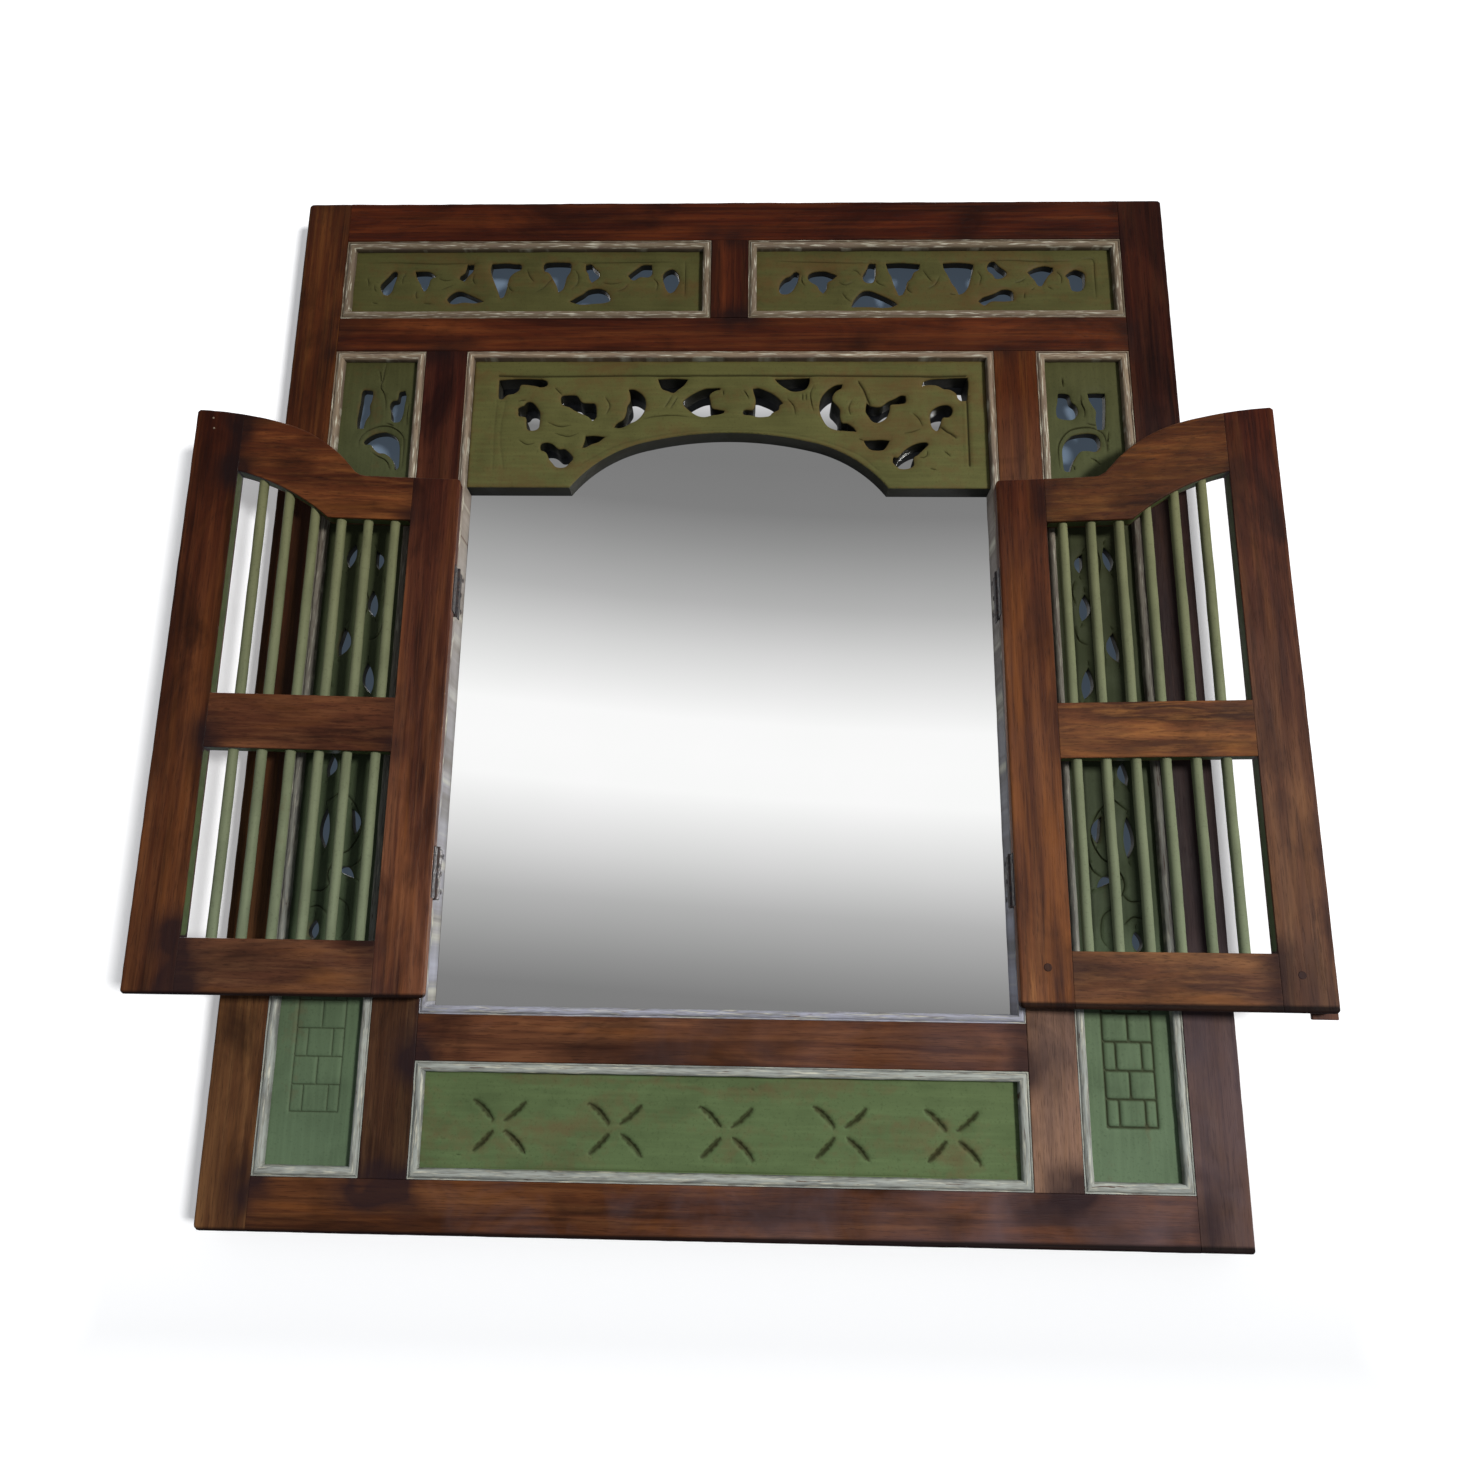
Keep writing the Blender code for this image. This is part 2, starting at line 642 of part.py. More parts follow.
def make_panel(name, opening, holes=()):
    left, right, low, top = grown(opening, PANEL_TONGUE)
    faces_y = (PANEL_RECESS, PANEL_RECESS + PANEL_THICKNESS)
    outline = rectangle(left, right, low, top)
    return piece(name, board_shape(outline, faces_y, holes), "green_paint", frame)


def bead_profile(width, back):
    """A flat fillet, a quirk and a round, from the opening's edge inwards."""
    radius = (width - BEAD_FILLET - BEAD_QUIRK) / 2
    middle = width - radius
    round_part = []
    for step in range(BEAD_STEPS + 1):
        angle = math.pi * step / BEAD_STEPS
        round_part.append((middle - radius * math.cos(angle),
                           radius - BEAD_PROUD - radius * math.sin(angle)))
    quirk_floor = max(BEAD_FILLET_SET + BEAD_QUIRK_DEPTH, radius - BEAD_PROUD)
    return [
        (GAP, back),
        (GAP, BEAD_FILLET_SET),
        (BEAD_FILLET, BEAD_FILLET_SET),
        (BEAD_FILLET, quirk_floor),
        (BEAD_FILLET + BEAD_QUIRK, quirk_floor),
        *round_part[1:],
        (width, back),
    ]


def make_panels():
    rows = [
        ("top_left", TOP_LEFT_OPENING, top_panel_holes(TOP_LEFT_OPENING)),
        ("top_right", TOP_RIGHT_OPENING, top_panel_holes(TOP_RIGHT_OPENING)),
        ("left_side", LEFT_SIDE_OPENING, side_panel_holes(LEFT_SIDE_OPENING)),
        ("right_side", RIGHT_SIDE_OPENING, side_panel_holes(RIGHT_SIDE_OPENING)),
        ("bottom", BOTTOM_OPENING, ()),
    ]
    for name, opening, holes in rows:
        item = make_panel(name + "_panel", opening, holes)
        if name == "bottom":
            cut_crosses(item)
        profile = bead_profile(BEAD_WIDTH, PANEL_RECESS - GAP)
        piece(name + "_bead", ring_shape(opening, profile), "cream_paint", frame)


# Arched header, lining, glass and backing

def arch(clearance=0):
    """Centres and radii of the arch's two arcs, drawn in by a clearance."""
    crown = HEADER_LOW + ARCH_RISE
    crown_centre = (0, crown - CROWN_RADIUS)
    slope = math.asin(CROWN_HALF / CROWN_RADIUS)
    join_z = crown_centre[1] + CROWN_RADIUS * math.cos(slope)
    run = ARCH_HALF - CROWN_HALF
    fall = join_z - HEADER_LOW
    turn = math.atan2(fall, run) - slope
    haunch_radius = math.hypot(run, fall) / (2 * math.sin(turn))
    haunch_centre = (CROWN_HALF - haunch_radius * math.sin(slope),
                     join_z - haunch_radius * math.cos(slope))
    return (crown_centre, CROWN_RADIUS - clearance, slope,
            haunch_centre, haunch_radius - clearance, slope + 2 * turn)


def make_header():
    crown_centre, crown_radius, slope, haunch_centre, haunch_radius, end_slope = arch()
    quarter = math.pi / 2
    haunch = arc_points(haunch_centre, haunch_radius, quarter - end_slope,
                        quarter - slope, ARC_STEPS)
    crown = arc_points(crown_centre, crown_radius, quarter - slope,
                       quarter + slope, ARC_STEPS)
    edge = LINING_HALF - GAP
    curve = moved_along(haunch + crown[1:-1] + mirrored(haunch)[::-1], HEADER_OFFSET)
    outline = [(edge, LINING_TOP - GAP), (edge, HEADER_LOW), *curve,
               (-edge, HEADER_LOW), (-edge, LINING_TOP - GAP)]
    faces_y = (HEADER_FRONT, HEADER_FRONT + HEADER_THICKNESS)
    holes = [moved_along(loop, HEADER_OFFSET) for loop in header_holes()]
    piece("header_panel", board_shape(outline, faces_y, holes), "green_paint", frame)


def hinge_heights():
    """The middles of a shutter's two hinges."""
    return (SHUTTER_LOW + HINGE_INSET, SHOULDER_TOP - HINGE_INSET)


def make_mirror():
    profile = bead_profile(LINING_WIDTH, GLASS_RECESS - GAP)
    lining = piece("mirror_lining", ring_shape(CENTRE_OPENING, profile),
                   "cream_paint", frame)
    recesses = bmesh.new()
    for side in (-1, 1):
        depth = side * (AXIS_X + LEAF_PLAY / 2 + LEAF_THICKNESS + GAP)
        across = sorted((depth, side * (AXIS_X - BARREL_RADIUS)))
        for middle in hinge_heights():
            half = HINGE_HEIGHT / 2 + GAP
            add_box(recesses, across, (AXIS_Y - OVERRUN, AXIS_Y + LEAF_WIDTH + GAP),
                    (middle - half, middle + half))
    combine(lining, recesses, "DIFFERENCE")

    left, right, low, top = grown(CENTRE_OPENING, -GAP)
    glass_y = (GLASS_RECESS, GLASS_RECESS + GLASS_THICKNESS)
    piece("mirror_glass", box_shape((left, right), glass_y, (low, top)), "mirror", frame)
    left, right, low, top = grown(CENTRE_OPENING, BACKING_REBATE)
    board_y = (BACKING_FRONT, BACKING_FRONT + BACKING_THICKNESS)
    piece("backing_board", box_shape((left, right), board_y, (low, top)), "backing", frame)


# Butt hinges

def knuckle_ranges(middle, first):
    """The stretches of barrel that belong to one leaf: every other knuckle."""
    pitch = HINGE_HEIGHT / KNUCKLE_COUNT
    low = middle - HINGE_HEIGHT / 2
    ranges = []
    for index in range(first, KNUCKLE_COUNT, 2):
        start = low + index * pitch
        ranges.append((start + KNUCKLE_PLAY / 2, start + pitch - KNUCKLE_PLAY / 2))
    return ranges


def make_leaf(name, parent, axis, toward, middle, first):
    """A plate rolled round the pin; toward is the side of the axis on which it lies."""
    x, y = axis
    near = x + toward * LEAF_PLAY / 2
    plate_x = sorted((near, near + toward * LEAF_THICKNESS))
    half = HINGE_HEIGHT / 2
    plate = box_shape(plate_x, (y, y + LEAF_WIDTH), (middle - half, middle + half))
    item = piece(name, plate, "hinge_iron", parent)
    notches = bmesh.new()
    reach = BARREL_RADIUS + KNUCKLE_PLAY
    for low, high in knuckle_ranges(middle, 1 - first):
        notch_z = (low - KNUCKLE_PLAY, high + KNUCKLE_PLAY)
        add_box(notches, (x - reach, x + reach), (y - reach, y + reach), notch_z)
    combine(item, notches, "DIFFERENCE")
    barrels = bmesh.new()
    for stretch in knuckle_ranges(middle, first):
        add_cylinder(barrels, x, y, stretch, BARREL_RADIUS, BARREL_SIDES)
    combine(item, barrels, "UNION")
    bore = bmesh.new()
    bore_z = (middle - half - OVERRUN, middle + half + OVERRUN)
    add_cylinder(bore, x, y, bore_z, PIN_RADIUS + PIN_PLAY, BARREL_SIDES)
    combine(item, bore, "DIFFERENCE")


def make_pin(name, axis, middle):
    """A pin with a flat head at each end, turned as one piece."""
    x, y = axis
    reach = HINGE_HEIGHT / 2 + KNUCKLE_PLAY
    levels = [
        (PIN_HEAD_RADIUS, -reach - PIN_HEAD_HEIGHT),
        (PIN_HEAD_RADIUS, -reach),
        (PIN_RADIUS, -reach),
        (PIN_RADIUS, reach),
        (PIN_HEAD_RADIUS, reach),
        (PIN_HEAD_RADIUS, reach + PIN_HEAD_HEIGHT),
    ]
    shape = bmesh.new()
    rings = []
    for radius, height in levels:
        turns = [2 * math.pi * side / BARREL_SIDES for side in range(BARREL_SIDES)]
        rings.append([shape.verts.new((x + radius * math.cos(turn),
                                       y + radius * math.sin(turn),
                                       middle + height)) for turn in turns])
    for ring, following in zip(rings, rings[1:]):
        for side in range(BARREL_SIDES):
            after = (side + 1) % BARREL_SIDES
            shape.faces.new((ring[side], ring[after], following[after], following[side]))
    shape.faces.new(rings[0][::-1])
    shape.faces.new(rings[-1])
    piece(name, shape, "hinge_iron", frame, smooth_angle=math.radians(40))


# Shutters

def shutter_top():
    """The top edge from the meeting stile's edge to the shoulder, as (u, z) points.

    It follows the header's arch a little inside it and ends in a hollow fillet.
    """
    crown_centre, crown_radius, slope, haunch_centre, haunch_radius, _ = arch(SHUTTER_HEAD_GAP)
    quarter = math.pi / 2
    start = math.acos((AXIS_X - SHUTTER_END) / crown_radius)
    crown = arc_points(crown_centre, crown_radius, start, quarter - slope, ARC_STEPS)
    fillet_z = SHOULDER_TOP + SHUTTER_FILLET_RADIUS
    reach = haunch_radius + SHUTTER_FILLET_RADIUS
    rise = fillet_z - haunch_centre[1]
    run = math.sqrt(reach ** 2 - rise ** 2)
    touch = math.atan2(rise, run)
    haunch = arc_points(haunch_centre, haunch_radius, quarter - slope, touch, ARC_STEPS)
    fillet = arc_points((haunch_centre[0] + run, fillet_z), SHUTTER_FILLET_RADIUS,
                        touch + math.pi, 3 * quarter, ARC_STEPS // 2)
    curve = crown + haunch[1:] + fillet[1:]
    return [(AXIS_X - x, z) for x, z in curve]


def window_top():
    """The upper window's top edge from the shoulder to the meeting stile."""
    run = WINDOW_FAR - WINDOW_ARC_START
    chord = math.hypot(run, WINDOW_ARC_RISE)
    lift = math.atan2(WINDOW_ARC_RISE, run)
    turn = math.asin(chord / (2 * WINDOW_ARC_RADIUS))
    quarter = math.pi / 2
    start = quarter + lift + turn
    centre = (WINDOW_ARC_START - WINDOW_ARC_RADIUS * math.cos(start),
              WINDOW_SHOULDER - WINDOW_ARC_RADIUS * math.sin(start))
    return centre, arc_points(centre, WINDOW_ARC_RADIUS, start,
                              quarter + lift - turn, ARC_STEPS)


def window_height(u):
    """The height of the upper window's top edge at a distance from the hinge."""
    centre, _ = window_top()
    if u <= WINDOW_ARC_START:
        return WINDOW_SHOULDER
    return centre[1] + math.sqrt(WINDOW_ARC_RADIUS ** 2 - (u - centre[0]) ** 2)


def edge_height(u):
    """The height of the shutter's top edge at a distance from the hinge."""
    points = shutter_top()
    for (near, near_z), (far, far_z) in zip(points, points[1:]):
        if far <= u <= near:
            return far_z + (near_z - far_z) * (u - far) / (near - far)
    return SHOULDER_TOP


def dowel_places():
    first = WINDOW_NEAR + DOWEL_NEAR_MARGIN
    last = WINDOW_FAR - DOWEL_FAR_MARGIN
    pitch = (last - first) / (DOWEL_COUNT - 1)
    return [first + pitch * index for index in range(DOWEL_COUNT)]


def make_shutter(name, side, parent):
    """One shutter; side is -1 for the left one and +1 for the right one."""
    faces_y = (SHUTTER_FRONT, SHUTTER_BACK)

    def place(loop):
        return [(-side * u, z) for u, z in loop]

    def span(near, far):
        return sorted((-side * near, -side * far))

    def tenons(margin, rows):
        shape = bmesh.new()
        half = SHUTTER_TENON_THICKNESS / 2 + margin
        thick = (SHUTTER_MIDDLE - half, SHUTTER_MIDDLE + half)
        reach = SHUTTER_TENON_LENGTH + margin
        for end, toward, low, high in rows:
            tall = (low + SHUTTER_TENON_SHOULDER - margin,
                    high - SHUTTER_TENON_SHOULDER + margin)
            root = end - toward * SHUTTER_TENON_SHOULDER
            add_box(shape, span(root, end + toward * reach), thick, tall)
        return shape

    def board(part, loop):
        item = piece(name + "_" + part, board_shape(place(loop), faces_y), "teak", parent)
        round_edges(item, SHUTTER_ARRIS)
        return item

    near = WINDOW_NEAR + GAP
    far = WINDOW_FAR - GAP
    far_low = window_height(far)
    far_top = edge_height(far)
    top_curve = shutter_top()

    # Where the three rails meet the hinge stile and the meeting stile
    near_rows = [
        (near, -1, SHUTTER_LOW, LOWER_WINDOW_LOW),
        (near, -1, MID_RAIL_LOW, MID_RAIL_TOP),
        (near, -1, WINDOW_SHOULDER, SHOULDER_TOP),
    ]
    far_rows = [
        (far, 1, SHUTTER_LOW, LOWER_WINDOW_LOW),
        (far, 1, MID_RAIL_LOW, MID_RAIL_TOP),
        (far, 1, far_low, far_top),
    ]

    item = board("hinge_stile", rectangle(SHUTTER_EDGE, WINDOW_NEAR, SHUTTER_LOW, SHOULDER_TOP))
    combine(item, tenons(GAP, near_rows), "DIFFERENCE")
    recesses = bmesh.new()
    for middle in hinge_heights():
        half = HINGE_HEIGHT / 2 + GAP
        floor = LEAF_PLAY / 2 + LEAF_THICKNESS + GAP
        add_box(recesses, span(SHUTTER_EDGE - OVERRUN, floor),
                (SHUTTER_FRONT - OVERRUN, LEAF_WIDTH + GAP), (middle - half, middle + half))
    combine(item, recesses, "DIFFERENCE")

    over_stile = [point for point in top_curve if point[0] > WINDOW_FAR]
    meeting = [(SHUTTER_END, SHUTTER_LOW), *over_stile, (WINDOW_FAR, edge_height(WINDOW_FAR)),
               (WINDOW_FAR, SHUTTER_LOW)]
    item = board("meeting_stile", meeting)
    combine(item, tenons(GAP, far_rows), "DIFFERENCE")

    # All the sockets of the dowels, which run from the bottom rail to the top rail
    def sockets():
        shape = bmesh.new()
        for u in dowel_places():
            stretch = (LOWER_WINDOW_LOW - DOWEL_SEAT - GAP, window_height(u) + DOWEL_SEAT + GAP)
            add_cylinder(shape, -side * u, SHUTTER_MIDDLE, stretch,
                         DOWEL_DIAMETER / 2 + GAP, DOWEL_SIDES)
        return shape

    _, window_curve = window_top()
    over_rail = [point for point in top_curve if near < point[0] < far]
    top_rail = [(near, SHOULDER_TOP), (near, WINDOW_SHOULDER), *window_curve[:-1],
                (far, far_low), (far, far_top), *over_rail]
    rails = [
        ("top_rail", top_rail, 2),
        ("mid_rail", rectangle(near, far, MID_RAIL_LOW, MID_RAIL_TOP), 1),
        ("bottom_rail", rectangle(near, far, SHUTTER_LOW, LOWER_WINDOW_LOW), 0),
    ]
    for part, loop, row in rails:
        item = board(part, loop)
        combine(item, tenons(0, [near_rows[row], far_rows[row]]), "UNION")
        combine(item, sockets(), "DIFFERENCE")

    for index, u in enumerate(dowel_places()):
        shape = bmesh.new()
        stretch = (LOWER_WINDOW_LOW - DOWEL_SEAT, window_height(u) + DOWEL_SEAT)
        add_cylinder(shape, -side * u, SHUTTER_MIDDLE, stretch, DOWEL_DIAMETER / 2, DOWEL_SIDES)
        piece(f"{name}_dowel_{index + 1}", shape, "green_paint", parent,
              smooth_angle=math.radians(40))


def make_lap_strip(name, side, parent):
    """The strip on the front of one shutter that covers the joint between the two."""
    near = SHUTTER_END + LAP_OVERHANG - LAP_WIDTH
    far = SHUTTER_END + LAP_OVERHANG
    across = sorted((-side * near, -side * far))
    back = SHUTTER_FRONT - GAP
    top = edge_height(near) - LAP_TOP_GAP
    shape = box_shape(across, (back - LAP_THICKNESS, back), (SHUTTER_LOW - LAP_DROP, top))
    round_edges(piece(name, shape, "teak", parent), LAP_ARRIS)


clear_scene()
frame = empty("frame_place", (0, -FRAME_DEPTH, TOP_RAIL_HEIGHT / 2 - FRAME_HEIGHT))
make_frame()
make_panels()
make_header()
make_mirror()
for shutter, hand, open_degrees in (("left_shutter", -1, LEFT_OPEN_DEGREES),
                                    ("right_shutter", 1, RIGHT_OPEN_DEGREES)):
    axis_place = (hand * AXIS_X, AXIS_Y, 0)
    hinge_axis = empty(shutter + "_axis", axis_place, frame, hand * math.radians(open_degrees))
    make_shutter(shutter, hand, hinge_axis)
    for level, height in zip(("lower", "upper"), hinge_heights()):
        hinge = f"{shutter.split('_')[0]}_{level}_hinge"
        make_leaf(hinge + "_frame_leaf", frame, axis_place[:2], hand, height, 0)
        make_leaf(hinge + "_shutter_leaf", hinge_axis, (0, 0), -hand, height, 1)
        make_pin(hinge + "_pin", axis_place[:2], height)
    if hand > 0:
        make_lap_strip(shutter + "_lap_strip", hand, hinge_axis)
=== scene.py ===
"""Shuttered wall mirror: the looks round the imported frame, in the order it is put together."""
import json
import math

import bmesh
import bpy
import numpy as np
from mathutils import Matrix, Vector, geometry, kdtree, noise


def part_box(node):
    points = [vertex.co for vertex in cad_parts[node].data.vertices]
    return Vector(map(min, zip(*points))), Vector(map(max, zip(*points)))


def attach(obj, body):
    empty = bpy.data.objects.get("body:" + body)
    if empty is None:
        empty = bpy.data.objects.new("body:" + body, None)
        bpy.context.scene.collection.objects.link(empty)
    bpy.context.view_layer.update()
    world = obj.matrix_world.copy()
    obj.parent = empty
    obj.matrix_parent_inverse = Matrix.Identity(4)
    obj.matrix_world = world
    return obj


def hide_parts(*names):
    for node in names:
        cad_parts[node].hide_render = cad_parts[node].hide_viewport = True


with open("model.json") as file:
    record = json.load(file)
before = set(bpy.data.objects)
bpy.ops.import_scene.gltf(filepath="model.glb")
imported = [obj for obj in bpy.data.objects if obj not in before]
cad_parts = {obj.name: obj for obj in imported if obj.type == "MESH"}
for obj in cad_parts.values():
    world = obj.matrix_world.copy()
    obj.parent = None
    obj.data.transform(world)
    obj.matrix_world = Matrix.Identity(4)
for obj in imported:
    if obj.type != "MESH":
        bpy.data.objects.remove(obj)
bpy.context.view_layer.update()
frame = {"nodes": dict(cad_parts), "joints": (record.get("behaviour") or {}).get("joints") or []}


# Camera and studio. The mirror hangs on a white wall over a pale floor, and is seen from
# a little below its middle. A bright band, as of a window, lies where the glass looks.

CAMERA_PLACE = Vector((0.0193, -1.1552, -0.8667))
CAMERA_PITCH, CAMERA_YAW, CAMERA_ROLL = 0.232, -0.030, 0.016
CAMERA_LENS, CAMERA_SENSOR, CAMERA_NEAREST = 27.12, 36, 0.01
CAMERA_SHIFT = (0.01263, -0.0044)
WALL_Y, WALL_TOP = 0.002, 3
FLOOR_Z = -1.45
STAGE_REACH = 4
BUMP_STRENGTH = 0.4


class Wire:
    """A socket of a node tree; arithmetic on it adds Math nodes."""

    def __init__(self, recipe, socket):
        self.recipe = recipe
        self.socket = socket

    def also(self, output):
        """Another output of the same node."""
        return Wire(self.recipe, self.socket.node.outputs[output])

    def __add__(self, other):
        return self.recipe.maths("ADD", self, other)

    def __radd__(self, other):
        return self.recipe.maths("ADD", other, self)

    def __sub__(self, other):
        return self.recipe.maths("SUBTRACT", self, other)

    def __rsub__(self, other):
        return self.recipe.maths("SUBTRACT", other, self)

    def __mul__(self, other):
        return self.recipe.maths("MULTIPLY", self, other)

    def __rmul__(self, other):
        return self.recipe.maths("MULTIPLY", other, self)

    def __abs__(self):
        return self.recipe.maths("ABSOLUTE", self)


class Recipe:
    """A node tree that is written down node by node."""

    def __init__(self, tree):
        self.tree = tree
        tree.nodes.clear()

    def node(self, kind, settings=None, sockets=None, out=0):
        """One node: its settings first, then a value or a wire for each of its sockets."""
        made = self.tree.nodes.new(kind)
        for name, value in (settings or {}).items():
            if name == "stops":
                ramp = made.color_ramp.elements
                while len(ramp) < len(value):
                    ramp.new(1)
                for stop, (place, colour) in zip(ramp, value):
                    stop.position = place
                    stop.color = (*colour, 1)
            else:
                setattr(made, name, value)
        for name, value in (sockets or {}).items():
            if isinstance(value, Wire):
                self.tree.links.new(value.socket, made.inputs[name])
            else:
                made.inputs[name].default_value = value
        return Wire(self, made.outputs[out]) if made.outputs else None

    def maths(self, operation, *values):
        return self.node("ShaderNodeMath", {"operation": operation}, dict(enumerate(values)))

    def mix(self, share, first, second):
        """Two colours mixed by a share."""
        first, second = [colour if isinstance(colour, Wire) else (*colour, 1)
                         for colour in (first, second)]
        return self.node("ShaderNodeMix", {"data_type": "RGBA", "clamp_factor": True},
                         {0: share, 6: first, 7: second}, 2)

    def parts(self, vector, axes):
        """The parts of a vector along some axes."""
        split = self.node("ShaderNodeSeparateXYZ", None, {0: vector})
        return [split.also(axis) for axis in axes]

    def limit(self, value, low, high, start=0, end=1):
        """A value stretched so that low becomes start and high becomes end, and held there."""
        return self.node("ShaderNodeMapRange", {"clamp": True},
                         {"Value": value, "From Min": low, "From Max": high,
                          "To Min": start, "To Max": end})


class Finish(Recipe):
    """The nodes of a new material, with patterns that lie still on the piece it covers."""

    def __init__(self, name, shift=(0, 0, 0), upright=False, crispness=0.5):
        self.material = bpy.data.materials.new(name)
        self.material.use_nodes = True
        super().__init__(self.material.node_tree)
        self.place = self.node("ShaderNodeTexCoord", out="Object")
        self.shift = shift
        self.upright = upright
        self.crispness = crispness

    def drawn_out(self, along, over):
        """The place, moved by the shift and scaled along the piece's length and over it."""
        scale = (over, over, along) if self.upright else (along, over, over)
        return self.node("ShaderNodeMapping", None,
                         {"Vector": self.place, "Location": self.shift, "Scale": scale})

    def cloud(self, vector, scale, detail, twist=0.0):
        """A soft random pattern."""
        return self.node("ShaderNodeTexNoise", None,
                         {"Vector": vector, "Scale": scale, "Detail": detail,
                          "Roughness": self.crispness, "Distortion": twist})

    def mark(self, name):
        """A mark that the mesh carries at its points."""
        return self.node("ShaderNodeAttribute", {"attribute_name": name}, out="Fac")

    def surface(self, shader):
        self.node("ShaderNodeOutputMaterial", None, {"Surface": shader})
        return self.material

    def coat(self, colour, rough, relief=None, depth=0.0004, sheen=0.5, metal=0.0):
        """The material, its surface raised by a relief of a depth."""
        sockets = {"Base Color": colour, "Roughness": rough, "Metallic": metal,
                   "Specular IOR Level": sheen}
        if relief:
            sockets["Normal"] = self.node("ShaderNodeBump", None, {
                "Strength": BUMP_STRENGTH, "Distance": depth, "Height": relief})
        return self.surface(self.node("ShaderNodeBsdfPrincipled", None, sockets))


def paint(red, green, painted_cool_light):
    """A colour as it looks on a screen, in the linear values that a shader takes."""
    parts = [value / 255 for value in (red, green, painted_cool_light)]
    return tuple(part / 12.92 if part <= 0.04045 else ((part + 0.055) / 1.055) ** 2.4
                 for part in parts)


def make_camera():
    cos_pitch = math.cos(CAMERA_PITCH)
    ahead = Vector((math.sin(CAMERA_YAW) * cos_pitch, math.cos(CAMERA_YAW) * cos_pitch,
                    math.sin(CAMERA_PITCH)))
    right = Vector((math.cos(CAMERA_YAW), -math.sin(CAMERA_YAW), 0))
    up = right.cross(ahead)
    turned_right = math.cos(CAMERA_ROLL) * right + math.sin(CAMERA_ROLL) * up
    turned_up = math.cos(CAMERA_ROLL) * up - math.sin(CAMERA_ROLL) * right
    camera = bpy.data.objects.new("camera", bpy.data.cameras.new("camera"))
    bpy.context.scene.collection.objects.link(camera)
    turn = Matrix((turned_right, turned_up, -ahead)).transposed().to_4x4()
    camera.matrix_world = Matrix.Translation(CAMERA_PLACE) @ turn
    camera.data.lens = CAMERA_LENS
    camera.data.sensor_width = CAMERA_SENSOR
    camera.data.shift_x, camera.data.shift_y = CAMERA_SHIFT
    camera.data.clip_start = CAMERA_NEAREST
    bpy.context.scene.camera = camera


def make_world():
    """White where it is seen; for gloss a bright band over the horizon, grey elsewhere."""
    world = bpy.data.worlds.new("studio")
    bpy.context.scene.world = world
    world.use_nodes = True
    make = Recipe(world.node_tree)
    across, height = make.parts(make.node("ShaderNodeTexCoord", out="Generated"), "XZ")
    off_band = height + 0.064 * across - 0.197
    fall = ((0.0, 1.0), (0.13, 0.99), (0.38, 0.69), (0.54, 0.47), (0.74, 0.30), (0.85, 0.22),
            (1.0, 0.20))
    glow = make.node("ShaderNodeValToRGB", {"stops": [(off, (grey,) * 3) for off, grey in fall]},
                     {0: abs(off_band) * 4})
    glow = make.mix(make.limit(height, 0.468, 0.50), glow, (0.80, 0.80, 0.82))
    glow = make.mix(make.limit(height, -0.035, -0.22), glow, (0.52, 0.56, 0.66))
    soft = make.mix(make.limit(height, -0.30, 0.45), (0.07, 0.08, 0.095), (0.42, 0.43, 0.455))
    light = make.node("ShaderNodeLightPath", out="Is Camera Ray")
    glossy = light.also("Is Glossy Ray")
    soft = make.mix(glossy, soft, glow)
    seen = make.mix(light, soft, (1, 1, 1))
    sky = make.node("ShaderNodeBackground", None, {"Color": seen, "Strength": 1.0})
    make.node("ShaderNodeOutputWorld", None, {"Surface": sky})


def rectangle(left, right, low, high):
    return [(left, low), (right, low), (right, high), (left, high)]


def stage_plane(name, corners, material):
    mesh = bpy.data.meshes.new(name)
    mesh.from_pydata(corners, [], [(0, 1, 2, 3)])
    mesh.materials.append(material)
    item = bpy.data.objects.new(name, mesh)
    bpy.context.scene.collection.objects.link(item)
    item.visible_diffuse = item.visible_glossy = False
    return item


def make_wall():
    """A wall that only the camera sees, so that it takes no light from the back.

    It is white about the mirror; behind it, where no light gets in, it is painted a dim blue-grey as
    shade.
    """
    make = Finish("white_wall")
    across, height = make.parts(make.place, "XZ")
    across = abs(across)
    low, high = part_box("right_stile")

    def beyond(margin):
        """How far a place lies outside the frame and a margin round it."""
        over = make.maths("MAXIMUM", height - (high.z + margin), (low.z - margin) - height)
        return make.maths("MAXIMUM", across - (high.x + margin), over)

    clear_of_painted_shade = make.limit(beyond(-0.004), -0.002, 0.002)
    far_wall = make.limit(beyond(0.10), 0.0, 0.16)
    # Behind the frame the wall glows less and is coloured dim blue-grey: painted shade.
    glow = make.mix(clear_of_painted_shade, (0.042, 0.056, 0.074), (0.30, 0.30, 0.30))
    glow = make.node("ShaderNodeEmission", None,
                     {"Color": make.mix(far_wall, glow, (0.75, 0.75, 0.75))})
    coat = make.node("ShaderNodeBsdfDiffuse", None,
                     {"Color": make.mix(clear_of_painted_shade, (0.09, 0.12, 0.16), (0.80, 0.80, 0.80))})
    lit = make.node("ShaderNodeAddShader", None, {0: glow, 1: coat})
    clear = make.node("ShaderNodeBsdfTransparent")
    back = make.node("ShaderNodeNewGeometry", out="Backfacing")
    shown = make.node("ShaderNodeMixShader", None, {0: back, 1: lit, 2: clear})
    corners = [(x, WALL_Y, z) for x, z in rectangle(-STAGE_REACH, STAGE_REACH, FLOOR_Z, WALL_TOP)]
    wall = stage_plane("wall", corners, make.surface(shown))
    wall.visible_shadow = wall.visible_transmission = False
    return wall


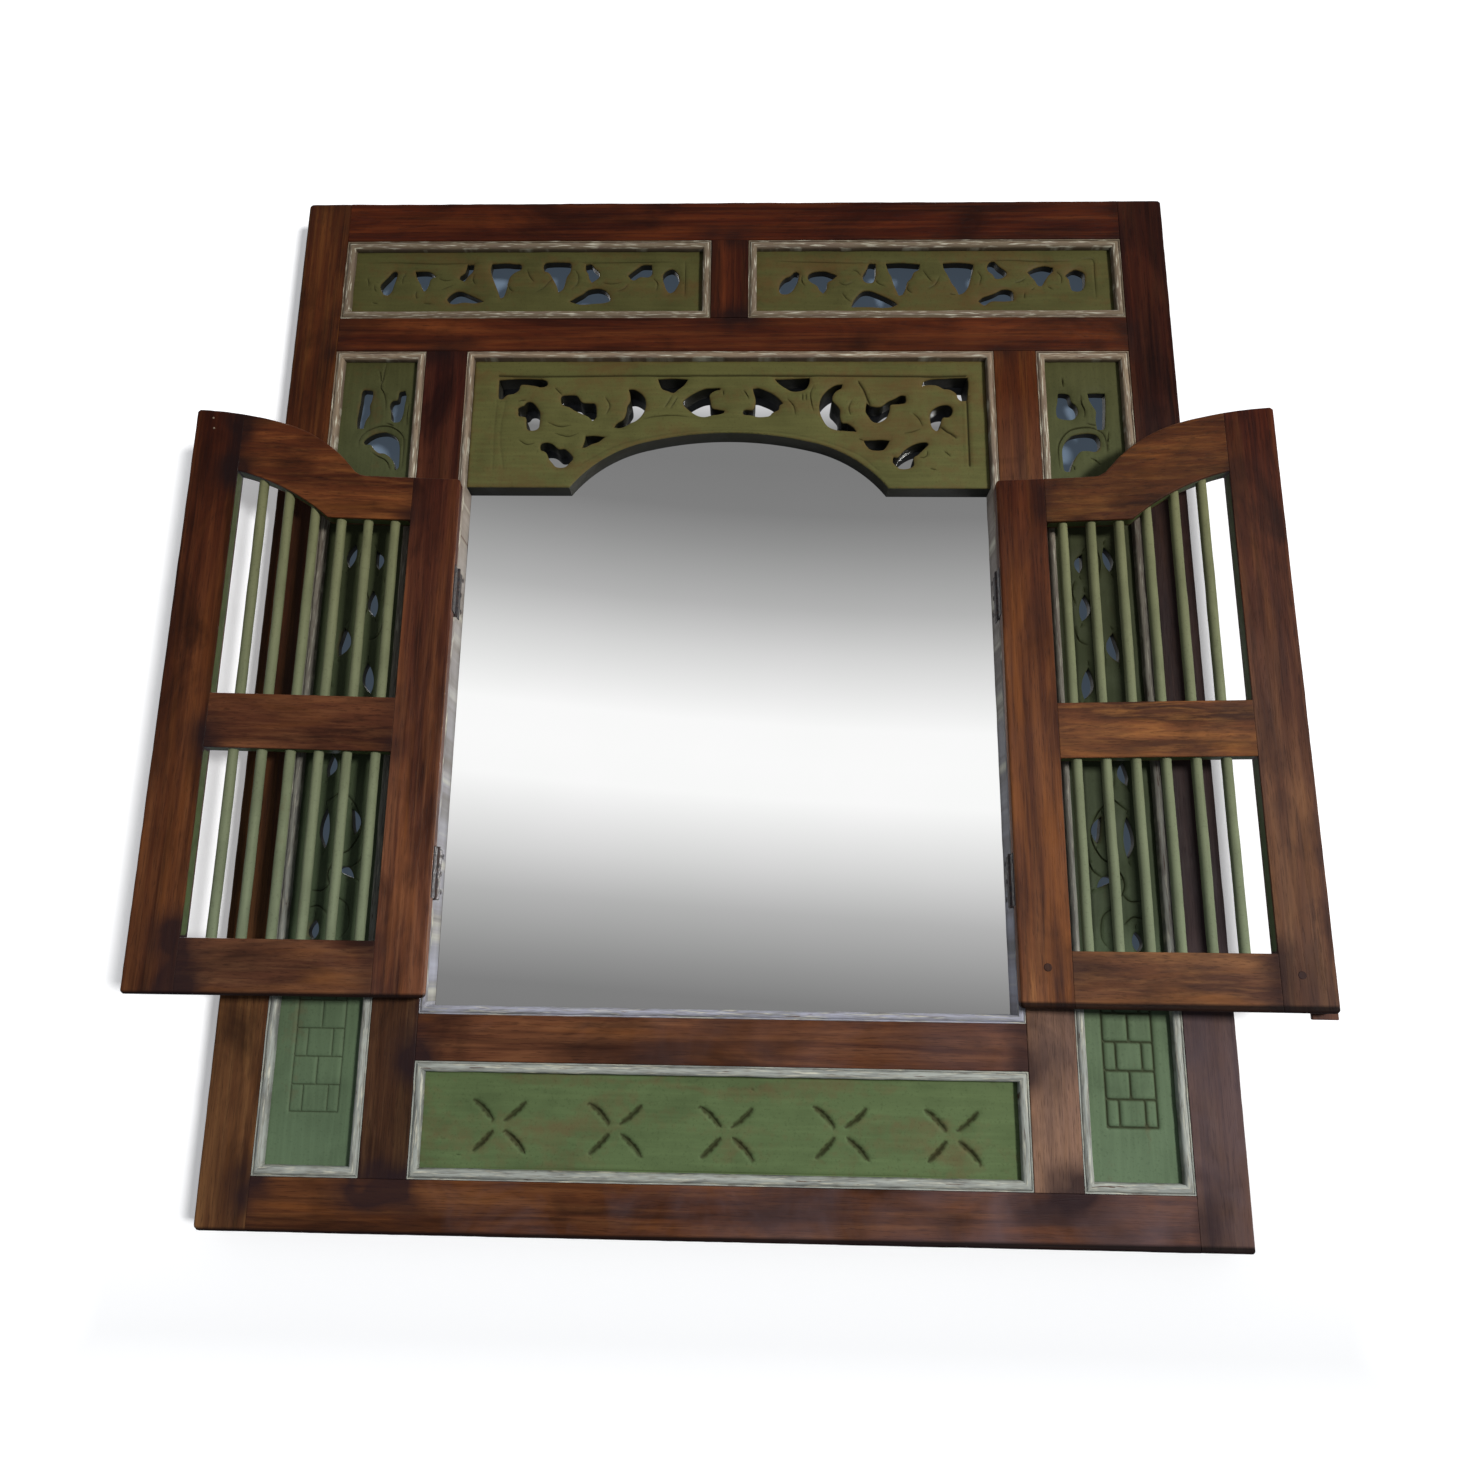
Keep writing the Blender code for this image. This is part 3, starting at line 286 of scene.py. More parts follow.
def make_floor():
    """A pale floor, white to the camera, that keeps the shadow."""
    make = Finish("pale_floor")
    coat = make.node("ShaderNodeBsdfDiffuse", None, {"Color": (0.80, 0.80, 0.80, 1)})
    glow = make.node("ShaderNodeEmission", None, {"Color": (0.4, 0.4, 0.4, 1)})
    seen = make.node("ShaderNodeLightPath", out="Is Camera Ray")
    lit = make.node("ShaderNodeMixShader", None, {
        0: seen, 1: coat, 2: make.node("ShaderNodeAddShader", None, {0: glow, 1: coat})})
    corners = [(x, y, FLOOR_Z) for x, y in rectangle(-STAGE_REACH, STAGE_REACH, -STAGE_REACH,
                                                     STAGE_REACH)]
    stage_plane("floor", corners, make.surface(lit))


def lamp(name, place, target, power, wall, tint=(1.0, 1.0, 1.0), for_wall=False):
    """A lamp aimed at a target, that lights either the wall alone or all but the wall."""
    light = bpy.data.lights.new(name, "SUN" if for_wall else "AREA")
    light.energy = power
    light.color = tint
    item = bpy.data.objects.new(name, light)
    item.location = place
    aim = Vector(target) - Vector(place)
    item.rotation_euler = aim.to_track_quat("-Z", "Y").to_euler()
    bpy.context.scene.collection.objects.link(item)
    lit = bpy.data.collections.new(name + "_lights")
    lit.objects.link(wall)
    lit.collection_objects[0].light_linking.link_state = "INCLUDE" if for_wall else "EXCLUDE"
    item.light_linking.receiver_collection = lit
    return light


bpy.context.scene.view_settings.view_transform = "Standard"
make_camera()
make_world()
white_wall = make_wall()
make_floor()
window = lamp("window_lamp", (2.4, -3.4, -0.30), (0, 0, -0.6), 160, white_wall, (1.0, 0.99, 0.97))
window.size = 0.6
behind = lamp("back_lamp", (-1.2, 2.2, 0.9), (0, 0, -0.5), 45, white_wall)
behind.size = 1.6
raking = lamp("wall_lamp", (1.92, -2.6, -0.60), (0, 0, -0.5), 3.8, white_wall, for_wall=True)
raking.angle = math.radians(12)


# Timbers of the frame: stiles, rails and a mullion in old teak, planed, mortised together,
# with their outer arrises worn round. Wax has gone dark in the pores and at the joints.

GAP = 0.0003
OUTER_ARRIS, INNER_ARRIS, TIGHT_ARRIS = 0.0026, 0.0010, 0.0003
ARRIS_BEND = (0, 28, 56, 90)
ARRIS_MARGIN, EDGE_STRIP, EDGE_LIP = 0.0008, 0.003, 0.0006
WEAR_REACH = 0.0018
WAX_REACH, WAX_SPREAD = 0.009, 0.013
RAIL_END = 0.0015
TEAK_STEP = 0.006
TEAK_SHEEN = 0.05
TEAK_LILAC = 0.22


def roundover(distance, radius):
    """How far the surface falls away at a distance in from a rounded edge."""
    inside = np.clip(radius - distance, 0, radius)
    return radius - np.sqrt(np.maximum(radius ** 2 - inside ** 2, 0))


def stations(length, first, last, step):
    """Places across a board, close together over its rounded edges."""
    def edge(radius):
        bend = [radius * (1 - math.cos(math.radians(angle))) for angle in ARRIS_BEND]
        return [*bend, radius + ARRIS_MARGIN, radius + EDGE_STRIP]

    start, end = edge(first), edge(last)
    count = max(1, round((length - start[-1] - end[-1]) / step))
    middle = np.linspace(start[-1], length - end[-1], count + 1)[1:-1]
    return np.array([*start, *middle, *[length - place for place in reversed(end)]])


def ripple(x, z, size, seed):
    """Smooth random heights about 0, repeated exactly at every run."""
    flat = [noise.noise(Vector((a / size + seed * 7.31, seed * 3.7, b / size)))
            for a, b in zip(np.ravel(x), np.ravel(z))]
    return np.array(flat).reshape(np.shape(x))


def shape_mesh(name, corners, faces, marks, material, sharp=None):
    """A mesh object with its marks, which the finish reads as attributes."""
    mesh = bpy.data.meshes.new(name)
    mesh.from_pydata([tuple(map(float, corner)) for corner in corners], [], faces)
    mesh.validate()
    for mark, values in marks.items():
        layer = mesh.attributes.new(mark, "FLOAT", "POINT")
        layer.data.foreach_set("value", np.asarray(values, dtype=np.float32))
    mesh.shade_smooth()
    if sharp:
        mesh.set_sharp_from_angle(angle=sharp)
    mesh.materials.append(material)
    item = bpy.data.objects.new(name, mesh)
    bpy.context.scene.collection.objects.link(item)
    return item


def line_distance(points, line):
    """How far points are from a line of straight stretches, and how far along it."""
    best = np.full(len(points), 1e9)
    along = np.zeros(len(points))
    lengths = [math.dist(a, b) for a, b in zip(line, line[1:])]
    total, run = sum(lengths), 0.0
    for a, b, length in zip(line, line[1:], lengths):
        a, b = np.array(a), np.array(b)
        share = np.clip(((points - a) @ (b - a)) / max(length ** 2, 1e-12), 0, 1)
        gap = np.linalg.norm(points - (a + share[:, None] * (b - a)), axis=1)
        closer = gap < best
        best = np.where(closer, gap, best)
        along = np.where(closer, (run + share * length) / total, along)
        run += length
    return best, along


def timber(name, across, low, high, faces_y, material, seed, arrises, joints=(), painted="",
           corners_round=()):
    """A board between two sides, and between a low and a high edge that may be curved.

    Its arrises are those of its left, right, low and high edge. Wax has darkened it by its
    joints, and the edges named in painted have caught the green of the panels.
    """
    front, back = faces_y
    left, right, foot_arris, head_arris = arrises
    width = across[1] - across[0]
    u = stations(width, left, right, TEAK_STEP)
    x = across[0] + u
    foot = np.array([low(place) for place in x])
    head = np.array([high(place) for place in x])
    mean = float(np.mean(head - foot))
    rise = stations(mean, foot_arris, head_arris, TEAK_STEP)
    first, last = foot_arris + ARRIS_MARGIN, head_arris + ARRIS_MARGIN
    share = np.clip((rise - first) / (mean - first - last), 0, 1)
    lower = np.minimum(rise, first)
    upper = np.maximum(rise - (mean - last), 0)
    span = (head - foot - first - last)[:, None]
    z = foot[:, None] + lower[None, :] + share[None, :] * span + upper[None, :]
    x = np.repeat(x[:, None], len(rise), 1)
    sides = [(u[:, None] + 0 * z, left), ((width - u)[:, None] + 0 * z, right),
             (rise[None, :] + 0 * z, foot_arris), ((mean - rise)[None, :] + 0 * z, head_arris)]
    falls = [roundover(distance, radius) for distance, radius in sides]
    widest = max(arrises)
    fall = np.minimum(falls[0] + falls[1] + falls[2] + falls[3], widest * 1.3)
    nearest = np.minimum.reduce([distance for distance, radius in sides])
    near = np.maximum.reduce([np.exp(-distance / WEAR_REACH) * min(1, radius / OUTER_ARRIS) ** 2
                              for distance, radius in sides])
    for side, end, radius in corners_round:
        a = np.clip(radius - (x - across[0] if side < 0 else across[1] - x), 0, None)
        b = np.clip(radius - (z - foot.min() if end < 0 else head.max() - z), 0, None)
        pull = np.maximum(a, b) / np.maximum(np.hypot(a, b), 1e-9) - 1
        pull = np.where((a > 0) & (b > 0), pull, 0)
        x = x + side * a * pull
        z = z + end * b * pull

    def worn(face_seed):
        """How deep a face lies: rounded at its arrises, uneven, and dented here and there."""
        soft = 1 + 0.35 * ripple(x, z, 0.045, face_seed) + 0.35 * ripple(x, z, 0.013, face_seed + 5)
        uneven = 0.0004 * (ripple(x, z, 0.12, face_seed + 11) + 0.6)
        dent = np.clip(ripple(x, z, 0.018, face_seed + 23) - 0.50, 0, 1) * 0.002
        return (fall * np.clip(soft, 0.5, 1.5) + np.clip(uneven, 0, 1)
                * np.clip(nearest / 0.006, 0, 1) + dent * (0.3 + near))

    grid = np.arange(z.size).reshape(z.shape)
    rows, columns = z.shape
    rim = [*grid[:, 0], *grid[-1, 1:], *grid[-2::-1, -1], *grid[0, -2:0:-1]]
    rim_side = ("b" * rows + "r" * (columns - 1) + "t" * (rows - 1) + "l" * (columns - 2))
    front_side = np.stack([x, front + worn(seed), z], -1).reshape(-1, 3)
    back_side = np.stack([x, back - worn(seed + 40), z], -1).reshape(-1, 3)
    total = z.size
    corners = [front_side, back_side]
    faces = []
    for i in range(rows - 1):
        for j in range(columns - 1):
            a, b, c, d = grid[i, j], grid[i + 1, j], grid[i + 1, j + 1], grid[i, j + 1]
            faces += [(a, b, c, d), (d + total, c + total, b + total, a + total)]

    # The edges run round the rim, from the front face to the back one.
    loops = [rim]
    inset = widest * 1.9 + EDGE_LIP
    for place in (front + inset, front + inset + EDGE_STRIP, back - inset - EDGE_STRIP,
                  back - inset):
        ring = front_side[rim].copy()
        ring[:, 1] = place
        loops.append([sum(map(len, corners)) + k for k in range(len(rim))])
        corners.append(ring)
    loops.append([index + total for index in rim])
    for loop, following in zip(loops, loops[1:]):
        for k in range(len(rim)):
            after = (k + 1) % len(rim)
            faces.append((loop[k], following[k], following[after], loop[after]))
    corners = np.concatenate(corners)

    wax = np.zeros(len(corners))
    for line, strength in joints:
        gap, along = line_distance(corners[:, [0, 2]], line)
        reach = WAX_REACH + WAX_SPREAD * strength
        wax = np.maximum(wax, strength * np.exp(-(gap / reach) ** 2))
    coat = np.array([1.0 if side in painted else 0.0 for side in rim_side])
    for line, strength in joints:
        gap, along = line_distance(front_side[rim][:, [0, 2]], line)
        coat = np.where(gap < RAIL_END, 0.0, coat)
    marks = {"arris": np.concatenate([near.ravel(), near.ravel(), np.zeros(4 * len(rim))]),
             "joint": wax,
             "painted": np.concatenate([np.zeros(2 * total)] + [coat] * 4)}
    return shape_mesh(name, corners, [tuple(map(int, face)) for face in faces], marks, material)


def shutter_shade_mask(make):
    """From 0 to 1, how far a place on the frame lies where the open shutters stand, where it is darkened
    as painted shade.
    """
    across, height = make.parts(make.place, "XZ")
    across = abs(across)
    under_top = make.limit(height - (across - 0.40) * 0.4, -0.300, -0.400)
    over_foot = make.limit(height, -0.875, -0.805)
    return make.limit(across, 0.295, 0.345) * under_top * over_foot


def teak(name, upright, seed, tones=((1, 1, 1), (1, 1, 1)), pale=0.0, lilac=TEAK_LILAC,
         painted_shade_share=0.0, low_edge=-9.0):
    """Old waxed teak with its grain along the member: tones tint its top and its foot.

    Low down it can be made paler, and is filmed with lilac, partly dust and partly a painted
    sheen; it is darker above and lighter below, partly as painted light. Where the open
    shutters stand it is darkened as painted shade, and its lowest edge is painted near black
    as shade.
    """
    make = Finish(name, (seed * 1.37, seed * 0.71, seed * 2.13), upright, 0.55)
    drawn_out, cloud = make.drawn_out, make.cloud

    def shade(tone, *rgb):
        return tuple(gain * value for gain, value in zip(tone, paint(*rgb)))

    bands = cloud(drawn_out(2.4, 26.0), 1.0, 5.0, 1.0)
    figure = cloud(drawn_out(1.8, 46.0), 1.0, 2.0, 1.6)
    rings = make.maths("SINE", figure * 40.0) * 0.5 + 0.5
    pores = make.limit(cloud(drawn_out(60.0, 900.0), 1.0, 2.0), 0.56, 0.66)
    streaks = make.limit(cloud(drawn_out(4.5, 170.0), 1.0, 4.0, 0.5), 0.50, 0.70)
    fine = cloud(drawn_out(6.0, 210.0), 1.0, 4.0, 0.4)
    stains = make.limit(cloud(drawn_out(8.0, 17.0), 1.0, 5.0, 0.9), 0.47, 0.70)
    golden = make.limit(cloud(drawn_out(4.0, 38.0), 1.0, 4.0, 0.8), 0.52, 0.74)
    mottle = cloud(make.place, 55.0, 5.0, 0.4)
    across, height = make.parts(make.place, "XZ")
    painted_low_light = make.limit(height, -0.22, -1.02)

    top, foot = tones
    # The upper and the lower colours: darker above and lighter below, partly painted light.
    upper = make.node("ShaderNodeValToRGB", {"stops": [
        (0.30, shade(top, 38, 15, 10)), (0.44, shade(top, 68, 30, 19)),
        (0.58, shade(top, 86, 41, 24)), (0.74, shade(top, 126, 68, 38))]}, {0: bands})
    lower = make.node("ShaderNodeValToRGB", {"stops": [
        (0.30, shade(foot, 52, 30, 21)), (0.44, shade(foot, 87, 54, 38)),
        (0.58, shade(foot, 107, 70, 48)), (0.74, shade(foot, 146, 104, 70))]}, {0: bands})
    dark = make.mix(painted_low_light, shade(top, 22, 10, 8), shade(foot, 40, 25, 20))
    base = make.mix(painted_low_light, upper, lower)
    base = make.mix(painted_low_light * pale, base, paint(150, 116, 96))
    base = make.mix(rings * 0.16, base, dark)
    base = make.mix(streaks * 0.44, base, dark)
    glint = make.mix(painted_low_light, shade(top, 132, 80, 46), shade(foot, 142, 100, 68))
    base = make.mix(make.limit(fine, 0.47, 0.72) * 0.34, base, glint)
    base = make.mix(pores * 0.4, base, dark)
    base = make.mix(golden * (painted_low_light * 0.34 + 0.16), base, shade(foot, 136, 84, 42))
    base = make.mix(stains * 0.72, base, dark)
    # A lilac film low down and to the right: partly dust, partly a painted sheen.
    dust_and_sheen = make.limit(cloud(make.place, 12.0, 4.0, 0.5) + across * 0.5, 0.42, 0.78) * painted_low_light
    base = make.mix(dust_and_sheen * lilac, base, paint(104, 90, 96))
    spread_wax = make.limit(cloud(make.place, 17.0, 2.5, 0.15), 0.34, 0.64, 0.15, 1.35)
    wax = make.limit(make.mark("joint") * spread_wax + (mottle - 0.5) * 0.12, 0.08, 0.92)
    base = make.mix(wax * 0.86, base, make.mix(painted_low_light, paint(24, 13, 12), paint(38, 27, 30)))
    worn = make.limit(make.mark("arris") * cloud(make.place, 44.0, 3.0), 0.30, 0.56)
    base = make.mix(worn * 0.42, base, paint(140, 98, 68))
    # The lowest edge painted near black, as the shade under it.
    painted_foot_shade = make.limit(height - across * 0.0035, low_edge + 0.0062, low_edge + 0.0036)
    base = make.mix(painted_foot_shade * 0.92, base, paint(14, 8, 8))
    green = make.mix(painted_low_light, paint(78, 82, 46), paint(92, 110, 70))
    green = make.mix(make.limit(mottle, 0.45, 0.70) * 0.5, green, paint(52, 54, 30))
    coat = make.limit(make.mark("painted") + (mottle - 0.5) * 0.7, 0.42, 0.60)
    base = make.mix(coat, base, green)
    # Painted shade where the open shutters stand.
    if painted_shade_share:
        base = make.mix(shutter_shade_mask(make) * painted_shade_share, base, shade(top, 20, 9, 8))
    rough = make.limit(cloud(drawn_out(9.0, 60.0), 1.0, 3.0), 0.3, 0.7, 0.34, 0.52)
    relief = rings * 0.30 - pores * 0.8 - streaks * 0.35 + fine * 0.3
    return make.coat(base, rough + dust_and_sheen * 0.2, relief, sheen=TEAK_SHEEN)


def level(height):
    return lambda place: height


def settle(item, body, slot, *nodes):
    """The piece moves with a body and stands for its CAD nodes, which it hides. Its slot is not used."""
    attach(item, body)
    if nodes:
        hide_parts(*nodes)


boxes = {name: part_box(name) for name in frame["nodes"]}
frame_y = (boxes["left_stile"][0].y, boxes["left_stile"][1].y)
upright_lines = [("left_stile", 1, "top_rail", 0.6), ("left_stile", 1, "second_rail", 0.8),
                 ("left_stile", 1, "bottom_rail", 1.0), ("right_stile", 0, "top_rail", 0.4),
                 ("right_stile", 0, "second_rail", 0.5), ("right_stile", 0, "bottom_rail", 1.0),
                 ("left_inner_stile", 1, "sill_rail", 1.0),
                 ("right_inner_stile", 0, "sill_rail", 0.8)]
level_lines = [("bottom_rail", 1, "left_inner_stile", 1.5),
               ("bottom_rail", 1, "right_inner_stile", 1.2),
               ("second_rail", 0, "left_inner_stile", 0.7),
               ("second_rail", 0, "right_inner_stile", 0.6),
               ("second_rail", 1, "top_mullion", 0.9), ("top_rail", 0, "top_mullion", 0.8)]
frame_joints = []
for stile, side, rail, strength in upright_lines:
    x = boxes[stile][side].x
    frame_joints.append((((x, boxes[rail][0].z), (x, boxes[rail][1].z)), strength))
for rail, side, stile, strength in level_lines:
    z = boxes[rail][side].z
    frame_joints.append((((boxes[stile][0].x, z), (boxes[stile][1].x, z)), strength))

between_stiles = (boxes["left_stile"][1].x + GAP, boxes["right_stile"][0].x - GAP)
between_rails = (boxes["bottom_rail"][1].z + GAP, boxes["second_rail"][0].z - GAP)
outer, inner, tight = OUTER_ARRIS, INNER_ARRIS, TIGHT_ARRIS
frame_members = [
    ("left_stile", True, None, None, (outer, tight, outer, outer),
     [(-1, 1, 0.005), (-1, -1, 0.006)]),
    ("right_stile", True, None, None, (tight, outer, outer, outer),
     [(1, 1, 0.004), (1, -1, 0.003)]),
    ("top_rail", False, between_stiles, None, (tight, tight, inner, outer), []),
    ("second_rail", False, between_stiles, None, (tight, tight, inner, inner), []),
    ("bottom_rail", False, between_stiles, None, (tight, tight, outer, inner), []),
    ("sill_rail", False, (boxes["left_inner_stile"][1].x + GAP,
                          boxes["right_inner_stile"][0].x - GAP), None,
     (tight, tight, inner, inner), []),
    ("left_inner_stile", True, None, between_rails, (inner, inner, tight, tight), []),
    ("right_inner_stile", True, None, between_rails, (inner, inner, tight, tight), []),
    ("top_mullion", True, None, (boxes["second_rail"][1].z + GAP,
                                 boxes["top_rail"][0].z - GAP),
     (inner, inner, tight, tight), []),
]
# The tints of each member at its top and at its foot, darker above and lighter below partly as painted
# light.
FRAME_TONES = {
    "left_stile": ((0.88, 0.97, 0.70), (1.00, 1.05, 0.90)),
    "right_stile": ((0.33, 0.27, 0.29), (0.50, 0.60, 0.82)),
    "left_inner_stile": ((0.43, 0.37, 0.53), (0.68, 0.76, 0.75)),
    "right_inner_stile": ((0.94, 0.97, 0.58), (0.80, 0.95, 1.06)),
    "top_rail": [(0.71, 0.54, 0.40)] * 2,
    "second_rail": [(0.78, 0.70, 0.56)] * 2,
    "bottom_rail": [(0.90, 0.79, 0.63)] * 2,
    "sill_rail": [(0.99, 0.93, 0.90)] * 2,
    "top_mullion": [(0.70, 0.60, 0.52)] * 2}
# How far each is made paler and filmed with lilac dust and painted sheen at its foot, and darkened as
# painted shade behind its shutter.
WEATHER = {"right_inner_stile": (0.75, 0.18, 0.0), "right_stile": (0.10, 0.42, 0.62),
           "left_stile": (0.0, TEAK_LILAC, 0.52), "bottom_rail": (0.0, 0.45, 0.0)}
for index, member in enumerate(frame_members):
    name, upright, across, rise, arrises, corners_round = member
    low, high = boxes[name]
    across = across or (low.x, high.x)
    rise = rise or (low.z, high.z)
    weather = WEATHER.get(name, (0.0, TEAK_LILAC, 0.0))
    finish = teak(name + "_teak", upright, index + 1, FRAME_TONES[name], *weather,
                  boxes["bottom_rail"][0].z)
    item = timber(name + "_board", across, level(rise[0]), level(rise[1]), frame_y, finish,
                  index + 1, arrises, frame_joints, corners_round=corners_round)
    settle(item, "frame", "teak", name)


# Carved panels: thin boards let into the frame, pierced with leaves, incised with a knife
# and gouged, then painted green. The paint has rubbed off the rims and caught dirt below.
# Its cuts are darkened as dirt and painted shade, its hole walls and back are painted near
# black as shade, and it is painted lighter low down as light.

PANEL_STEP, BACK_STEP, CLOSEST_POINTS = 0.0024, 0.012, 0.00015
PANEL_RIM = 0.0014
PANEL_TONGUE, TONGUE_SLACK = 0.006, 0.0005
OUTLINE_STEP, OUTLINE_CORNER = 0.0035, 38
HOLE_STEP, HOLE_CORNER = 0.0018, 78
CUT_STEP = 0.0022
BOW_REACH = 0.004
DISH_DEPTH, DISH_REACH = 0.0013, 0.0045
UNDERCUT = 0.0007
RUB_AND_HIGHLIGHT_REACH, GRIME_AND_SHADE_DEPTH = 0.0016, 0.0012
VEIN_REACH, VEIN_HALF, VEIN_DEPTH = 0.007, 0.0007, 0.0009
GREEN_SHEEN = 0.06


def seen_face(node, turned=Matrix()):
    """The loops of a CAD board's front face: its outline first, then its holes."""
    shape = bmesh.new()
    shape.from_mesh(frame["nodes"][node].data)
    shape.transform(turned)
    bmesh.ops.remove_doubles(shape, verts=shape.verts, dist=1e-6)
    front = min(vert.co.y for vert in shape.verts)
    flat = {face for face in shape.faces
            if all(abs(vert.co.y - front) < 1e-5 for vert in face.verts)}
    onward = {}
    for edge in shape.edges:
        sides = [face for face in edge.link_faces if face in flat]
        if len(sides) == 1:
            first, second = edge.verts
            onward.setdefault(first, []).append(second)
            onward.setdefault(second, []).append(first)
    loops = []
    while onward:
        start = next(iter(onward))
        loop, here = [], start
        while here in onward:
            ahead = onward.pop(here)
            loop.append((here.co.x, here.co.z))
            here = next((vert for vert in ahead if vert in onward), None)
        loops.append(loop)
    shape.free()
    return sorted(loops, key=lambda loop: -abs(area(loop)))


def area(loop):
    return sum(x1 * z2 - x2 * z1 for (x1, z1), (x2, z2) in
               zip(loop, loop[1:] + loop[:1])) / 2


def curve_point(p0, p1, p2, p3, t):
    """A point on the smooth curve through four points, a share of the way from p1 to p2."""
    return 0.5 * (2 * p1 + (p2 - p0) * t + (2 * p0 - 5 * p1 + 4 * p2 - p3) * t ** 2
                  + (3 * p1 - p0 - 3 * p2 + p3) * t ** 3)


def faired(loop, step, sharp):
    """A loop with its facets bent into curves; corners sharper than an angle stay."""
    points = [Vector(point) for point in loop]
    count = len(points)
    corner = []
    for k in range(count):
        before = points[k] - points[k - 1]
        after = points[(k + 1) % count] - points[k]
        corner.append(abs(before.angle_signed(after)) > math.radians(sharp))
    made = []
    for k in range(count):
        p1, p2 = points[k], points[(k + 1) % count]
        p0 = p1 if corner[k] else points[k - 1]
        p3 = p2 if corner[(k + 1) % count] else points[(k + 2) % count]
        length = (p2 - p1).length
        parts = max(1, round(length / step))
        curved = not (corner[k] and corner[(k + 1) % count]) and length < 0.03
        for part in range(parts):
            t = part / parts
            made.append(curve_point(p0, p1, p2, p3, t) if curved else p1.lerp(p2, t))
    return np.array([tuple(point) for point in made])


def beside(loop, distance):
    """Points beside a loop, to its left."""
    before = loop - np.roll(loop, 1, 0)
    after = np.roll(loop, -1, 0) - loop
    before /= np.maximum(np.linalg.norm(before, axis=1, keepdims=True), 1e-9)
    after /= np.maximum(np.linalg.norm(after, axis=1, keepdims=True), 1e-9)
    along = before + after
    along /= np.maximum(np.linalg.norm(along, axis=1, keepdims=True), 1e-6)
    left = np.stack([-along[:, 1], along[:, 0]], 1)
    return loop + left * distance


def within(points, loop):
    """Which points lie inside a loop."""
    x, z = points[:, 0], points[:, 1]
    inside = np.zeros(len(points), bool)
    for (x1, z1), (x2, z2) in zip(loop, np.roll(loop, -1, 0)):
        crossing = (z1 > z) != (z2 > z)
        with np.errstate(divide="ignore", invalid="ignore"):
            inside ^= crossing & (x < (x2 - x1) * (z - z1) / (z2 - z1) + x1)
    return inside


def on_board(points, edges):
    """Which points lie inside a board's outline and in none of its holes."""
    inside = within(points, edges[0])
    for loop in edges[1:]:
        inside &= ~within(points, loop)
    return inside


def distances(points, targets):
    """How far each point is from the nearest of some targets."""
    tree = kdtree.KDTree(len(targets))
    for index, target in enumerate(targets):
        tree.insert((*target, 0), index)
    tree.balance()
    return np.array([tree.find((*point, 0))[2] for point in points])


class Scatter:
    """Points on a face, none nearer to another than its own spacing."""

    def __init__(self, cell):
        self.cell = cell
        self.grid = {}
        self.points = []

    def key(self, point):
        return int(math.floor(point[0] / self.cell)), int(math.floor(point[1] / self.cell))

    def add(self, point, spacing):
        column, row = self.key(point)
        for i in (-1, 0, 1):
            for j in (-1, 0, 1):
                for other in self.grid.get((column + i, row + j), ()):
                    if math.hypot(other[0] - point[0], other[1] - point[1]) < spacing:
                        return False
        self.grid.setdefault((column, row), []).append(point)
        self.points.append(point)
        return True


